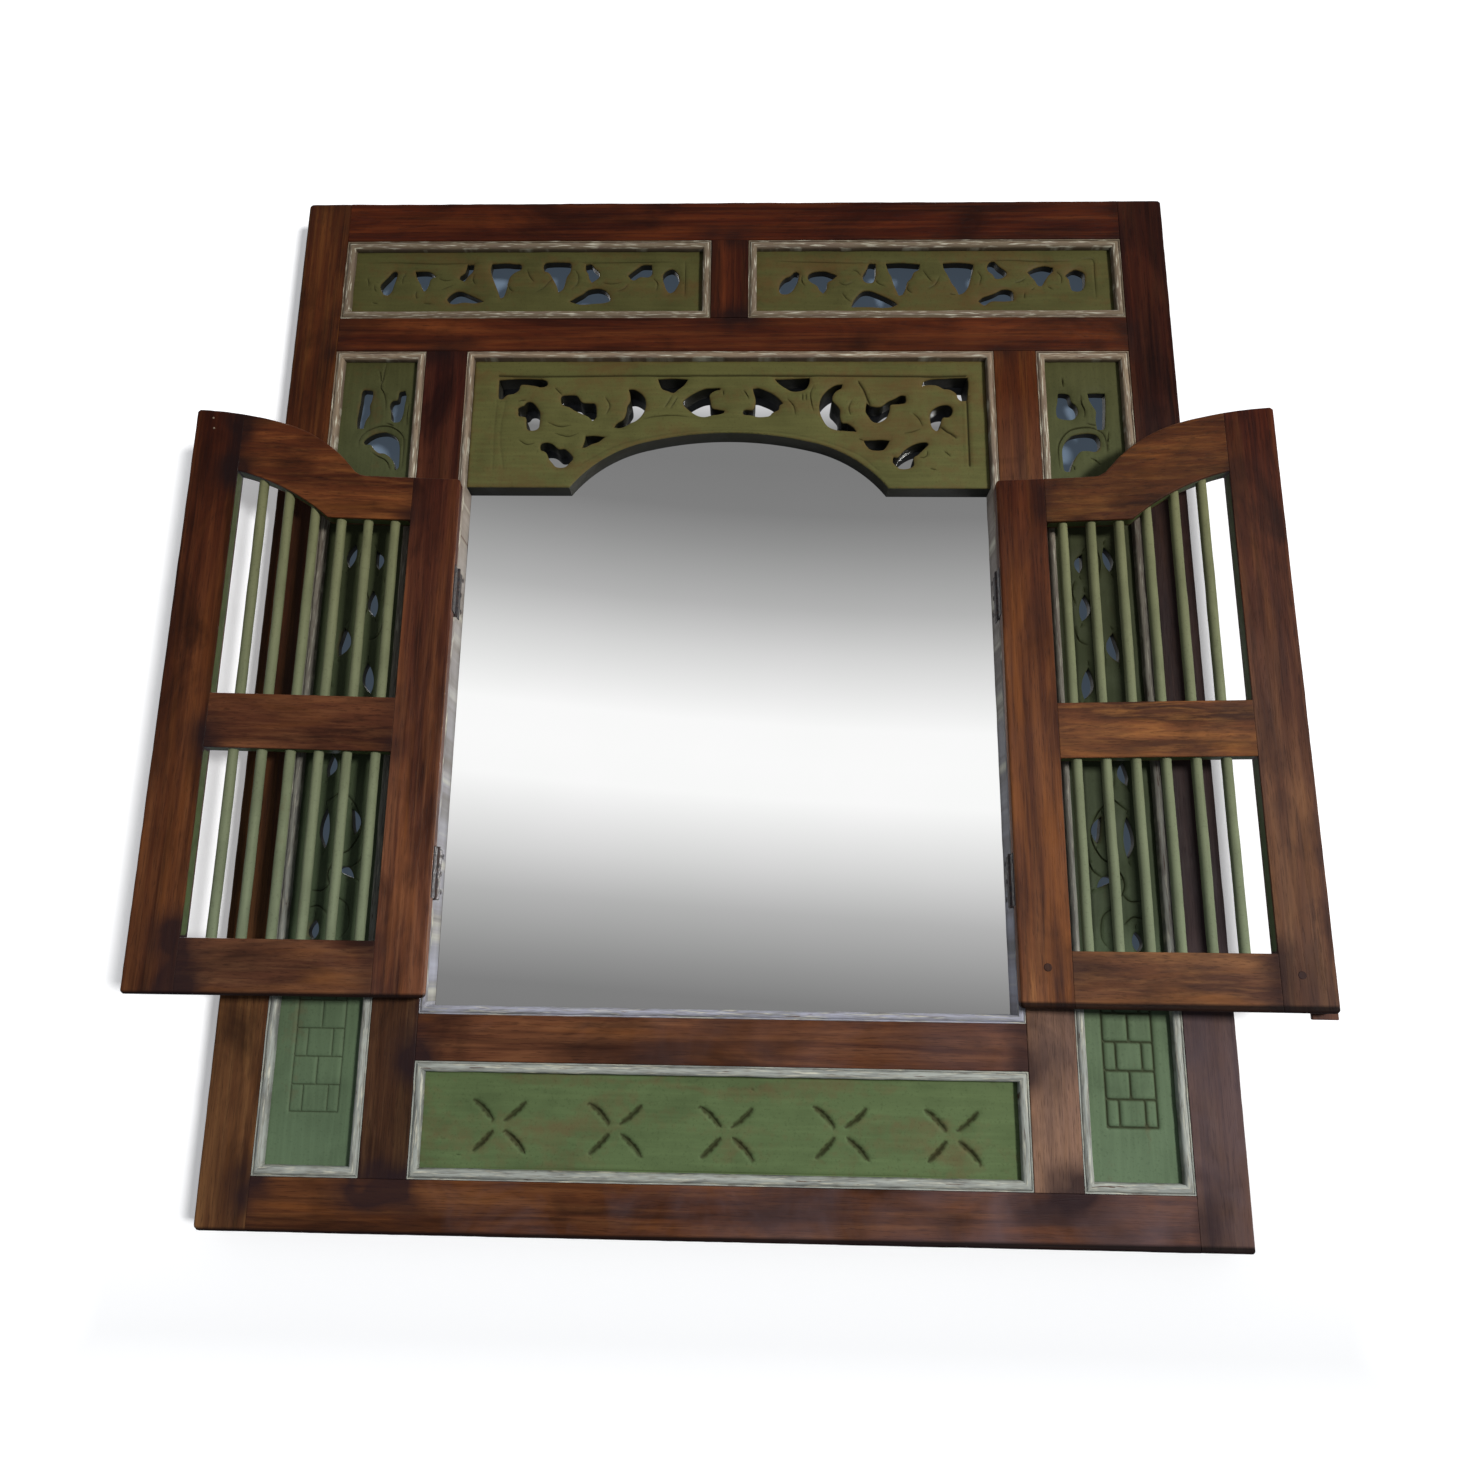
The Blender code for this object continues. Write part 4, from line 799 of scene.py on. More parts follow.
def carved_board(name, loops, faces_y, cuts, material, seed, step=PANEL_STEP, rim=PANEL_RIM,
                 swell=0.0004):
    """A pierced board; each cut is (line, half width, depth, whether its ends run out).

    A cut of a depth below 0 is a ridge.
    """
    front, back = faces_y
    edges = [faired(loop, HOLE_STEP, HOLE_CORNER) if index else
             faired(loop, OUTLINE_STEP, OUTLINE_CORNER) for index, loop in enumerate(loops)]
    edges = [loop[::-1] if (area([tuple(p) for p in loop]) > 0) == bool(index) else loop
             for index, loop in enumerate(edges)]
    field = Scatter(step)
    for loop in edges:
        for point in loop:
            field.add(tuple(point), 0)
    fixed = len(field.points)
    falls = [rim] * fixed
    for share in (0.13, 0.48, 1.0):
        for loop in edges:
            for point in beside(loop, rim * share):
                if field.add(tuple(point), max(0.9 * rim * share * 0.8, CLOSEST_POINTS)):
                    falls.append(float(roundover(np.array(rim * share), rim)))
    for line, half, depth, tapers in cuts:
        path = spread(line, max(0.0012, half * 0.9))
        for offset in (0, -half, half):
            for point in open_beside(path, offset):
                field.add(tuple(point), half * 0.55)
    low, high = edges[0].min(0), edges[0].max(0)
    for i, x in enumerate(np.arange(low[0] + step, high[0], step)):
        for z in np.arange(low[1] + step * (0.5 + 0.5 * (i % 2)), high[1], step):
            field.add((x, z), step * 0.62)
    points = np.array(field.points)
    falls = np.array(falls + [0.0] * (len(points) - len(falls)))
    keep = on_board(points, edges)
    keep[:fixed] = True
    points, falls = points[keep], falls[keep]

    outer = len(edges[0])
    from_edge = distances(points, points[:fixed])
    sink = np.zeros(len(points))
    for line, half, depth, tapers in cuts:
        line_box = np.array(line)
        near = np.all((points > line_box.min(0) - half) & (points < line_box.max(0) + half), 1)
        if not near.any():
            continue
        gap, along = line_distance(points[near], line)
        width = half * (np.sin(np.pi * along) ** 0.6 + 1e-3 if tapers else 1)
        cut = depth * np.clip(1 - gap / width, 0, 1) ** 0.8
        if tapers:
            cut = cut * np.sin(np.pi * along) ** 0.5
        sink[near] = np.maximum(sink[near], cut) if depth > 0 else sink[near] + cut
    x, z = points[:, 0], points[:, 1]
    bow = swell * (ripple(x, z, 0.05, seed) + ripple(x, z, 0.018, seed + 3) * 0.6 + 0.7)
    bow = np.clip(bow, 0, None) * np.clip(from_edge / BOW_REACH, 0, 1)
    dish = np.zeros(len(points))
    if len(edges) > 1:
        from_hole = distances(points, points[outer:fixed])
        dish = DISH_DEPTH * np.exp(-(from_hole / DISH_REACH) ** 2)
    hollow = falls + np.clip(sink + bow + dish, -0.001, (back - front) * 0.6)
    hollow[:fixed] = rim + dish[:fixed]

    def filled(spots):
        """The board's face over spots that begin with those of its edges."""
        pairs, first = [], 0
        for loop in edges:
            pairs += [(first + k, first + (k + 1) % len(loop)) for k in range(len(loop))]
            first += len(loop)
        verts, _, faces, origin, _, _ = geometry.delaunay_2d_cdt(
            [Vector(spot) for spot in spots], pairs, [], 0, 1e-7)
        verts = np.array([tuple(vert) for vert in verts])
        kept = on_board(np.array([verts[list(face)].mean(0) for face in faces]), edges)
        source = [places[0] if places else -1 for places in origin]
        lookup = {place: made for made, places in enumerate(origin) for place in places}
        made = []
        for face, good in zip(faces, kept):
            a, b, c = (verts[k] for k in face[:3])
            turn = (b[0] - a[0]) * (c[1] - a[1]) - (b[1] - a[1]) * (c[0] - a[0])
            if good and abs(turn) > 1e-13:
                made.append(tuple(face) if turn > 0 else tuple(reversed(face)))
        return verts, made, source, lookup

    front_verts, front_faces, source, lookup = filled(points)
    depth = np.array([hollow[k] if k >= 0 else 0 for k in source])
    extra = Scatter(BACK_STEP)
    for point in points[:fixed]:
        extra.add(tuple(point), 0)
    for x in np.arange(low[0] + BACK_STEP / 2, high[0], BACK_STEP):
        for z in np.arange(low[1] + BACK_STEP / 2, high[1], BACK_STEP):
            extra.add((x, z), BACK_STEP / 2)
    spots = np.array(extra.points)
    keep = on_board(spots, edges)
    keep[:fixed] = True
    back_verts, back_faces, _, back_lookup = filled(spots[keep])

    base, tail = len(front_verts), len(back_verts)
    corners = [(x, front + d, z) for (x, z), d in zip(front_verts, depth)]
    corners += [(x, back, z) for x, z in back_verts]
    faces = [*front_faces, *[tuple(base + k for k in reversed(face)) for face in back_faces]]
    first, rings_from = 0, len(corners)
    corners += [(points[k][0], front + hollow[k] + UNDERCUT, points[k][1]) for k in range(fixed)]
    for loop in edges:
        for k in range(len(loop)):
            here, after = first + k, first + (k + 1) % len(loop)
            faces.append((lookup[here], rings_from + here, rings_from + after, lookup[after]))
            faces.append((rings_from + here, base + back_lookup[here],
                          base + back_lookup[after], rings_from + after))
        first += len(loop)
    # The cuts darkened by their depth, partly dirt and partly painted shade.
    grime = np.array([sink[k] / GRIME_AND_SHADE_DEPTH if k >= 0 else 0 for k in source])
    rub_and_highlight = np.array([math.exp(-from_edge[k] / RUB_AND_HIGHLIGHT_REACH) if k >= outer or from_edge[k] > 1e-4
                    else 0 for k in source])
    # The depth mark paints the hole walls and the back near black, as the shade in them.
    marks = {"grime": np.concatenate([np.clip(grime, 0, 1.5), np.full(tail + fixed, 0.6)]),
             "rim": np.concatenate([rub_and_highlight, np.zeros(tail + fixed)]),
             "depth": np.concatenate([np.zeros(base), np.ones(tail), np.full(fixed, 0.9)])}
    return shape_mesh(name, corners, faces, marks, material, math.radians(50))


def spread(line, step):
    """A line again with points at even steps."""
    made = []
    for a, b in zip(line, line[1:]):
        parts = max(1, round(math.dist(a, b) / step))
        made += [(a[0] + (b[0] - a[0]) * k / parts, a[1] + (b[1] - a[1]) * k / parts)
                 for k in range(parts)]
    return np.array(made + [tuple(line[-1])])


def open_beside(path, offset):
    if not offset:
        return path
    along = np.gradient(path, axis=0)
    along /= np.maximum(np.linalg.norm(along, axis=1, keepdims=True), 1e-9)
    return path + np.stack([-along[:, 1], along[:, 0]], 1) * offset


def green_finish(name, seed, upper, lower, rubbed=0.5, upright=False, painted_shade_share=0.0):
    """Old green paint brushed over teak: dirty in its hollows, rubbed on its rims.

    It is lighter low down as painted light, darkened in its cuts, hole walls and back as painted shade,
    and paler along its rims as a painted highlight.
    """
    make = Finish(name, (seed * 1.91, seed * 0.37, seed * 1.13), upright)
    moved = make.drawn_out(1.0, 1.0)

    def shade(colour, gain):
        return tuple(gain * value for value in paint(*colour))

    patches = make.cloud(moved, 22.0, 4.0, 0.4)
    brush = make.cloud(make.drawn_out(16.0, 240.0), 1.0, 3.0)
    speck = make.cloud(moved, 420.0, 2.0)
    height, = make.parts(make.place, "Z")
    lower_painted_light = make.limit(height, -0.10, -1.06)

    # Darker above and lighter below, as painted light.
    base = make.mix(lower_painted_light, shade(upper, 1), shade(lower, 1))
    dirty = make.mix(lower_painted_light, shade(upper, 0.42), shade(lower, 0.42))
    base = make.mix(make.limit(patches, 0.42, 0.72) * 0.35, base, dirty)
    pale = make.mix(lower_painted_light, shade(upper, 1.45), shade(lower, 1.45))
    base = make.mix(make.limit(brush, 0.42, 0.78) * 0.35, base, pale)
    base = make.mix(make.limit(speck, 0.58, 0.70) * 0.30, base, dirty)
    rim = make.mark("rim")
    rubs = make.cloud(make.drawn_out(9.0, 30.0), 1.0, 5.0, 0.5)
    bare = make.limit(rim * 0.18 + rubs * 0.7 + make.cloud(moved, 130.0, 3.0) * 0.3
                      + rubbed * 0.14, 0.66, 0.84)
    base = make.mix(bare * 0.46, base, make.mix(lower_painted_light, paint(88, 58, 32), paint(106, 78, 56)))
    # Paler paint along the rims: a painted highlight.
    base = make.mix(make.limit(rim, 0.2, 0.9) * 0.16, base, pale)
    # Darker in the cuts by their depth: dirt and painted shade.
    grime = make.mix(lower_painted_light, paint(34, 30, 16), paint(44, 40, 24))
    base = make.mix(make.limit(make.mark("grime"), 0.1, 1.2) * 0.72, base, grime)
    # Painted shade where the open shutters stand.
    if painted_shade_share:
        base = make.mix(shutter_shade_mask(make) * painted_shade_share, base, shade(upper, 0.16))
    # Hole walls and back painted near black: painted shade.
    base = make.mix(make.mark("depth") * 0.95, base, paint(12, 12, 8))
    rough = make.limit(patches, 0.3, 0.7, 0.52, 0.72)
    relief = brush * 0.5 + speck * 0.3 - bare * 0.6
    return make.coat(base, rough, relief, sheen=GREEN_SHEEN)


def opening_of(piece, inset=PANEL_TONGUE):
    """Its opening in the frame: a panel's is the panel without its tongues."""
    low, high = boxes[piece]
    return (low.x + inset, high.x - inset, low.z + inset, high.z - inset)


def traced(text, x, z, hand=1):
    """Lines of points written as x,z in millimetres from a place on the board."""
    return [[(x + hand * float(a) / 1000, z + float(b) / 1000)
             for a, b in (point.split(",") for point in row.split())]
            for row in text.strip().splitlines()]


def smooth(line):
    """An open line with its points joined by curves."""
    points = [Vector(point) for point in line]
    if len(points) < 3:
        return line
    ends = [2 * points[0] - points[1], *points, 2 * points[-1] - points[-2]]
    made = []
    for p0, p1, p2, p3 in zip(ends, ends[1:], ends[2:], ends[3:]):
        parts = max(1, round((p2 - p1).length / CUT_STEP))
        made += [curve_point(p0, p1, p2, p3, part / parts) for part in range(parts)]
    return [tuple(point) for point in [*made, points[-1]]]


def strokes_of(text, x, z, half, depth, tapers=True, hand=1):
    """Knife or gouge strokes along traced lines."""
    return [(smooth(line), half / 1000, depth / 1000, tapers)
            for line in traced(text, x, z, hand)]


def petals(rows, x, z, hand=1):
    """Pierced leaves: each is (x, z, length, width, turn, bend), in millimetres and degrees."""
    made = []
    for at_x, at_z, length, width, turn, bend in rows:
        loop = []
        profile = ((0, 0), (0.18, 0.62), (0.42, 1.0), (0.68, 0.86), (0.88, 0.42), (1, 0),
                   (0.86, -0.30), (0.62, -0.62), (0.36, -0.74), (0.14, -0.40))
        for along, over in profile:
            sideways = over * width / 2 + bend * length * (along - 0.5) ** 2
            reach = (along - 0.5) * length
            angle = math.radians(turn)
            loop.append((x + hand * (at_x + reach * math.cos(angle)
                                     - sideways * math.sin(angle)) / 1000,
                         z + (at_z + reach * math.sin(angle)
                              + sideways * math.cos(angle)) / 1000))
        made.append(loop)
    return made


def leaf_veins(holes):
    """Knife lines that run on from the tips of the pierced leaves, like veins and stems."""
    cuts, reach = [], VEIN_REACH
    for index, loop in enumerate(holes):
        pairs = [(math.dist(a, b), a, b) for a in loop for b in loop]
        tip, tail = max(pairs)[1:]
        axis = (Vector(tip) - Vector(tail)).normalized()
        over = Vector((-axis.y, axis.x))
        for end, sign in ((tip, 1), (tail, -1)):
            swing = 0.35 if (index + sign) % 2 else -0.35
            start = Vector(end) + axis * sign * 0.0016
            bend = start + axis * sign * reach * 0.5 + over * swing * reach * 0.25
            stop = start + axis * sign * reach + over * swing * reach
            line = [tuple(start), tuple(bend), tuple(stop)]
            cuts.append((line, VEIN_HALF, VEIN_DEPTH, True))
    return cuts


def lay_panel(name, holes, cuts, finish, seed):
    """A carved board let into its opening, in place of the CAD panel."""
    left, right, low, high = opening_of(name)
    outline = rectangle(left - TONGUE_SLACK, right + TONGUE_SLACK, low - TONGUE_SLACK,
                        high + TONGUE_SLACK)
    faces_y = (boxes[name][0].y, boxes[name][1].y)
    item = carved_board(name + "_board", [outline, *holes], faces_y, cuts, finish, seed)
    settle(item, "frame", "green_paint", name)


TOP_LEFT_HOLES = """
54,68 59,66 58,58 56,50 54,42 50,37 45,38 41,44 40,50 44,56 49,62
80,68 90,68.5 98,67 105,61 99,58 97,50 94,43 91,43 87,52 82,60
141,77 149,77 148,68 143,62 139,55 134,57 133,61 139,67
130,41 137,41 148,36 156,32 163,28 152,26 140,27 130,25 124,26 120,31 124,37
170,78 185,79 196,78 204,77 205,71 197,66 192,60 190,52 189,44 186,34 182,33 179,42 175,52 171,62 169,70
232,78 240,80 255,80 263,78 263,68 259,60 257,50 255,44 250,40 248,48 243,58 238,66 232,69
281,76 287,77 291,72 297,66 297,60 293,56 289,53 286,58 284,65 281,70
285,43 296,45 305,42 310,35 311,29 304,26 292,25 280,24 272,25 264,28 271,33 279,38
348,76 358,76 359,65 355,60 345,60 339,56 335,57 331,62 336,67 342,72
376,68 383,70 389,64 391,55 389,48 385,41 380,39 376,44 374,50 372,57 372,63
"""
TOP_LEFT_STROKES = """
24,59 26,53 26,47
33,50 34,44 37,39
150,64 149,56 153,49
190,51 193,44 198,40
244,61 238,52 231,44 223,39
84,42 83,36 85,30
70,66 66,58 66,50
108,58 116,55 126,56
112,42 118,45 127,49
212,70 216,60 222,52
268,70 273,60 272,50 264,42
300,52 312,50 324,52
318,40 326,43 332,50
360,58 366,50 364,40
398,80 398,60 398,32
20,78 60,79 110,77 165,79
268,79 300,78 345,79 394,79
32,26 40,24
92,25 104,24
"""
TOP_RIGHT_HOLES = """
54,66 59,64 58,56 56,50 51,41 45,37 38,38 36,45 38,52 43,58 49,61
70,62 76,66 88,67 97,64 103,61 98,56 92,52 91,44 87,38 83,42 80,48 74,52 70,56
141,77 148,76 148,66 147,58 144,52 137,52 133,57 134,63 138,70
126,34 132,40 140,41 150,37 160,32 168,27 172,23 166,20 155,19 140,20 128,20 119,20 122,28
160,77 175,78 190,77 199,76 198,69 192,65 189,58 184,52 182,44 178,36 174,35 171,43 168,52 166,60 163,66
226,77 240,78 255,77 261,75 260,67 258,60 256,52 253,44 248,38 243,36 240,44 236,50 233,57 230,64 227,70
281,79 286,78 290,73 298,66 298,61 292,57 286,57 283,62 278,67 277,73
285,38 292,42 300,42 305,38 305,28 295,27 280,27 272,22 265,27 270,32 278,35
323,65 331,70 342,73 352,71 352,66 347,61 343,55 338,47 334,48 331,54 327,59
370,64 377,68 384,66 388,62 388,52 386,44 381,40 373,41 371,48 370,55 366,60
"""
TOP_RIGHT_STROKES = """
147,57 150,51 158,46
186,52 184,43 190,36
120,68 126,66 131,60
318,38 317,29
231,36 240,35
325,40 330,44
344,46 351,41
383,80 398,80 399,60 399,28
24,80 70,78 120,77 156,78
264,79 300,80 340,78 380,79
63,62 62,54 66,46
104,52 112,48 122,52
108,38 114,30 120,26
202,68 208,58 214,50
222,60 216,48 206,42
264,66 269,58 266,46
306,50 314,52 321,57
355,66 361,58 360,48
"""
for side, seed, holes_text, strokes_text, rubbed in (
        ("left", 21, TOP_LEFT_HOLES, TOP_LEFT_STROKES, 1.15),
        ("right", 22, TOP_RIGHT_HOLES, TOP_RIGHT_STROKES, 1.35)):
    left, right, low, high = opening_of(f"top_{side}_panel")
    lay_panel(f"top_{side}_panel", traced(holes_text, left, low),
              strokes_of(strokes_text, left, low, 1.1, 1.1),
              green_finish(f"top_{side}_paint", seed, (73, 71, 39), (96, 110, 76), rubbed), seed)

SIDE_LEFT_HOLES = """
31,-45 37,-44 43,-46 43,-56 41,-64 42,-74 38,-82 36,-92 29,-92 28,-82 29,-70 30,-58
74,-46 80,-45 82,-52 81,-62 80,-74 77,-83 70,-84 67,-80 66,-72 64,-64 66,-58 72,-56 73,-50
38,-108 44,-102 52,-98 62,-97 70,-100 76,-105 79,-113 80,-125 80,-140 76,-143 74,-134 70,-128 63,-123 \
56,-122 50,-117 46,-112 40,-112
"""
SIDE_LEFT_STROKES = """
57,-9 55,-20 54,-31 52,-41 56,-48 59,-58 60,-72
49,-20 51,-28 52,-36
34,-119 33,-107 40,-97 52,-91 64,-90 74,-94 82,-102 84,-114 84,-142
47,-121 56,-127 66,-133 72,-145
61,-86 66,-87 72,-90
86,-60 85,-76 86,-90
"""
SIDE_RIGHT_HOLES = """
25,-48 32,-48 37,-50 39,-58 44,-63 46,-70 44,-76 39,-80 30,-80 23,-77 22,-68 24,-58
58,-48 68,-47.5 77,-48 77,-60 76,-72 75,-84 73,-92 66,-92 65,-80 66,-70 62,-62 59,-55
27,-142 26,-130 26,-118 29,-109 36,-101 45,-98 55,-97 64,-99 68,-106 67,-114 62,-119 54,-118 46,-119 \
40,-126 36,-134 33,-143
"""
SIDE_RIGHT_STROKES = """
50,-49 50,-60 53,-70 52,-80
30,-28 31,-41
54,-85 61,-87 68,-86
22,-146 21,-118 25,-105 34,-95 46,-91 60,-91 70,-96 74,-106 74,-122
55,-127 61,-130 67,-136
37,-136 38,-142
78,-94 76,-108 75,-122
"""
SIDE_LEAVES = [(68, -246, 28, 12, 100, 0.3), (36, -251, 22, 10, 80, -0.3),
               (40, -302, 30, 13, 82, 0.35), (66, -346, 32, 14, 97, -0.35),
               (38, -386, 34, 14, 80, 0.3), (66, -430, 28, 12, 100, 0.3),
               (67, -482, 24, 12, 96, -0.3), (69, -548, 42, 12, 88, 0.25),
               (36, -540, 28, 10, 78, -0.4), (42, -592, 22, 9, 20, -0.6),
               (70, -652, 20, 12, 95, 0.3)]
SIDE_STEMS = """
52,-176 46,-200 52,-225 58,-250 52,-275 44,-300 50,-325 56,-350 52,-378 46,-404 52,-430
52,-462 58,-484 50,-508 36,-526 30,-548 38,-568 52,-578 60,-596 50,-616 36,-628 34,-650 46,-664
30,-270 26,-285 30,-300
76,-262 80,-276 76,-290
26,-322 30,-338 40,-344
76,-368 80,-384 74,-398
26,-404 30,-416 40,-420
44,-500 58,-512 70,-522
24,-560 28,-580 40,-590
56,-604 64,-612 76,-612
56,-636 66,-628 78,-630
"""
# The incised bricks: the height of each course's foot and its upright joints, in millimetres.
BRICK_ROWS = [(59, (-12, 13)), (84.5, (0,)), (111, (-12, 13)), (138, (1,)), (165, (-12, 13)),
              (191, ())]
BRICK_EDGES = (-24, 24)
for name, hand, seed, holes_text, strokes_text, deep, painted_shade_share in (
        ("left_side_panel", -1, 23, SIDE_LEFT_HOLES, SIDE_LEFT_STROKES, 1.1, 0.35),
        ("right_side_panel", 1, 24, SIDE_RIGHT_HOLES, SIDE_RIGHT_STROKES, 2.1, 0.64)):
    left, right, low, high = opening_of(name)
    near_mirror = right if hand < 0 else left
    holes = traced(holes_text, left, high) + petals(SIDE_LEAVES, near_mirror, high, hand)
    cuts = strokes_of(strokes_text, left, high, 1.2, 1.5)
    cuts += strokes_of(SIDE_STEMS, near_mirror, high, 1.3, 1.6, True, hand)
    cuts += leaf_veins(holes[3:])
    lines = []
    for (start, joints), (end, _) in zip(BRICK_ROWS, BRICK_ROWS[1:]):
        lines.append(f"{BRICK_EDGES[0]},{start} {BRICK_EDGES[1]},{start}")
        lines += [f"{joint},{start} {joint},{end}" for joint in joints]
    lines += [f"{edge},{BRICK_ROWS[0][0]} {edge},{BRICK_ROWS[-1][0]}" for edge in BRICK_EDGES]
    cuts += strokes_of("\n".join(lines), (left + right) / 2, low, deep, deep, False)
    lay_panel(name, holes, cuts, green_finish(name + "_paint", seed, (65, 61, 30), (92, 111, 85),
                                              0.3, True, painted_shade_share), seed)

# The gouged crosses of the lower panel: four strokes round each middle, in millimetres.
CROSS_MIDDLES = (-213, -101, 6, 118, 224)
CROSS_HEIGHT, CROSS_SLIP = 0.049, 0.0006
CROSS_STROKES = """
-27,24 -16,16 -4,3
27,23 16,12 4,3
-25,-25 -15,-16 -4,-4
28,-27 18,-15 5,-4
"""
left, right, low, high = opening_of("bottom_panel")
cuts = []
for index, middle in enumerate(CROSS_MIDDLES):
    slip = ((index * 37) % 5 - 2) * CROSS_SLIP
    cuts += strokes_of(CROSS_STROKES, middle / 1000 + slip, low + CROSS_HEIGHT - slip, 3.7, 3.6)
cuts += strokes_of("""
-255,22 -248,22
-270,36 -266,37
30,88 35,86
-286,96 -150,98 20,98 284,98
-286,10 -120,11 60,11 284,11
""", 0, low, 0.9, 0.7)
lay_panel("bottom_panel", [], cuts,
          green_finish("bottom_paint", 25, (86, 88, 50), (88, 105, 69), 1.1), 25)


# The arched header over the glass, pierced and carved like the panels. It hangs inside the
# lining just clear of the glass, as thick as the shutters, which close under its arch.

HEADER_HOLES = """
-262,133 -240,134.5 -215,134 -207,131 -207,126 -214,124 -222,126 -236,127 -239,120 -244,116 -252,114 \
-257,109 -261,110 -262,118
-238,98 -232,101 -229,105 -223,105 -217,99 -213,91 -213,80 -214,73 -219,70 -226,71 -228,78 -229,86 \
-237,88 -238,93
-189,113 -181,114 -172,113 -166,105 -158,104 -151,103 -149,96 -149,86 -153,82 -158,87 -166,91 -174,95 \
-180,99 -188,102 -190,108
-210,53 -204,55 -197,53 -190,47 -183,47 -177,42 -173,36 -176,31 -182,25 -191,25 -196,30 -200,35 -204,43 \
-210,46
-160,63 -150,63.5 -138,62 -145,56 -153,53 -160,49 -163,49 -161,56
-113,121 -107,121 -100,117 -95,111 -93,104 -94,96 -98,88 -104,82 -110,79 -116,75 -123,73 -128,74 \
-125,79 -118,84 -115,92 -114,100 -111,106 -111,113
-80,134 -62,135 -46,134 -50,127 -57,121 -62,117 -68,119 -75,122 -78,128
-51,106 -45,112 -36,118 -27,122 -18,123 -10,123 -9,121 -16,119 -21,114 -20,106 -18,98 -11,96 -4,95 \
-5,92 -11,90 -18,89 -26,87 -33,88 -40,92 -47,98 -50,102
28,122 34,123 42,120 50,116 57,110 62,104 58,101 57,96 50,92 46,88 34,87 27,89 18,90 17,94 20,96 28,96 \
31,102 31,110 29,117
53,134 62,134 80,135 92,136 92,130 88,122 80,119 72,119 65,123 58,128
129,128 120,126 111,119 105,110 103,100 104,92 108,82 113,75 122,71 132,70 144,69 141,74 134,79 128,80 \
126,88 126,96 122,102 118,107 118,113 122,119 128,123
156,104 163,100 172,100 180,106 188,110 195,114 200,113 200,105 192,103 183,102 182,96 180,90 176,84 \
168,80 162,82 158,88 155,94
219,126 221,131 230,134 245,135 258,136 270,136 271,128 270,118 268,108 263,107 259,110 257,116 250,121 \
243,122 236,126 228,127
227,91 231,97 238,101 246,102 251,99 252,93 248,87 241,86 238,78 236,72 233,70 229,74 227,82
152,58 162,58.5 172,59 181,58 178,52 174,47 168,46 160,47 155,52
185,38 190,38 195,44 202,50 212,55 222,56 224,53 218,47 212,41 207,37 207,28 200,24 192,24 188,27 184,32
"""
HEADER_STROKES = """
-198,123 -194,119 -189,114
-239,105 -234,107 -229,107
-63,114 -67,106 -72,97
-57,112 -61,104 -66,96
-98,83 -80,87 -60,88 -42,86
-6,120 -5,113
17,120 21,114 24,108
84,116 84,106
88,116 88,106
97,126 93,116 94,104 97,92
146,60 152,58
212,38 218,37 222,40 222,46
240,45 244,42 248,38
224,24 232,22
-140,112 -134,100 -138,88
-205,80 -190,74 -176,76
-196,66 -180,62 -168,66
-236,58 -226,52 -216,54
66,110 74,100 76,88
140,108 136,98 138,88
206,92 214,84 218,74
196,66 206,68 216,72
"""
HEADER_GROOVES = """
148,129 153,120 157,109 160,102
268.5,132 268.5,80 268.5,27
238,75 244,69 249,66 254,62
-262,138 -203,137 -90,138 0,138 96,138 216,137 268,138
"""
HEADER_FAINT = """
-262,108 -263,70 -262,22
-252,106 -256,64 -250,22
-160,30 -120,52 -60,66 10,70 80,64 140,44 168,22
"""
header_low, header_high = boxes["header_panel"]
outline = seen_face("header_panel")[0]
holes = traced(HEADER_HOLES, 0, header_low.z)
cuts = strokes_of(HEADER_STROKES, 0, header_low.z, 1.1, 1.3)
cuts += strokes_of(HEADER_GROOVES, 0, header_low.z, 1.8, 2.0, False)
cuts += strokes_of(HEADER_FAINT, 0, header_low.z, 2.2, 0.5, False)
cuts += strokes_of("265,130 265,80 265,30", 0, header_low.z, 1.8, -0.6, False)
item = carved_board("header_board", [outline, *holes], (header_low.y, header_high.y), cuts,
                    green_finish("header_paint", 31, (84, 81, 44), (98, 103, 67), 1.35), 31)
item.visible_glossy = False
settle(item, "frame", "green_paint", "header_panel")

# A dark core lies wholly inside it and shows only in the glass, where it stands as a painted
# reflection of the piercings' shade, so their dark is seen twice.
CORE_INSET = 0.0003
CORE_RISE, CORE_DROP = 0.015, 0.002
CORE_FRONT = 0.005
CORE_WIDTH_SHARE = 0.996
CORE_STEP = 0.008
HEADER_TOP_BAND = 0.03


def widened(loop, more):
    middle = Vector((sum(x for x, _ in loop), sum(z for _, z in loop))) / len(loop)
    grown = [Vector(point) + (Vector(point) - middle).normalized() * more for point in loop]
    return [tuple(point) for point in grown]


raised = [(x * CORE_WIDTH_SHARE,
           z + CORE_RISE if z < header_high.z - HEADER_TOP_BAND else z - CORE_DROP)
          for x, z in outline]
core = carved_board("header_core", [raised, *[widened(hole, CORE_INSET) for hole in holes]],
                    (header_low.y + CORE_FRONT, header_high.y - CORE_INSET), [],
                    green_finish("core_shade", 32, (16, 15, 10), (16, 15, 10)), 32, CORE_STEP,
                    CORE_INSET, 0.0)
settle(core, "frame", "green_paint")


# Beads: slim mouldings mitred round each panel, painted cream over the teak. The paint
# has gone thin and lilac in streaks along them, and is chipped to the wood in places.

BEAD_STEP, ARC_STEPS = 0.004, 11
BEAD_WIDTH, LINING_WIDTH = 0.0100, 0.0080
CREAM_SHEEN = 0.1


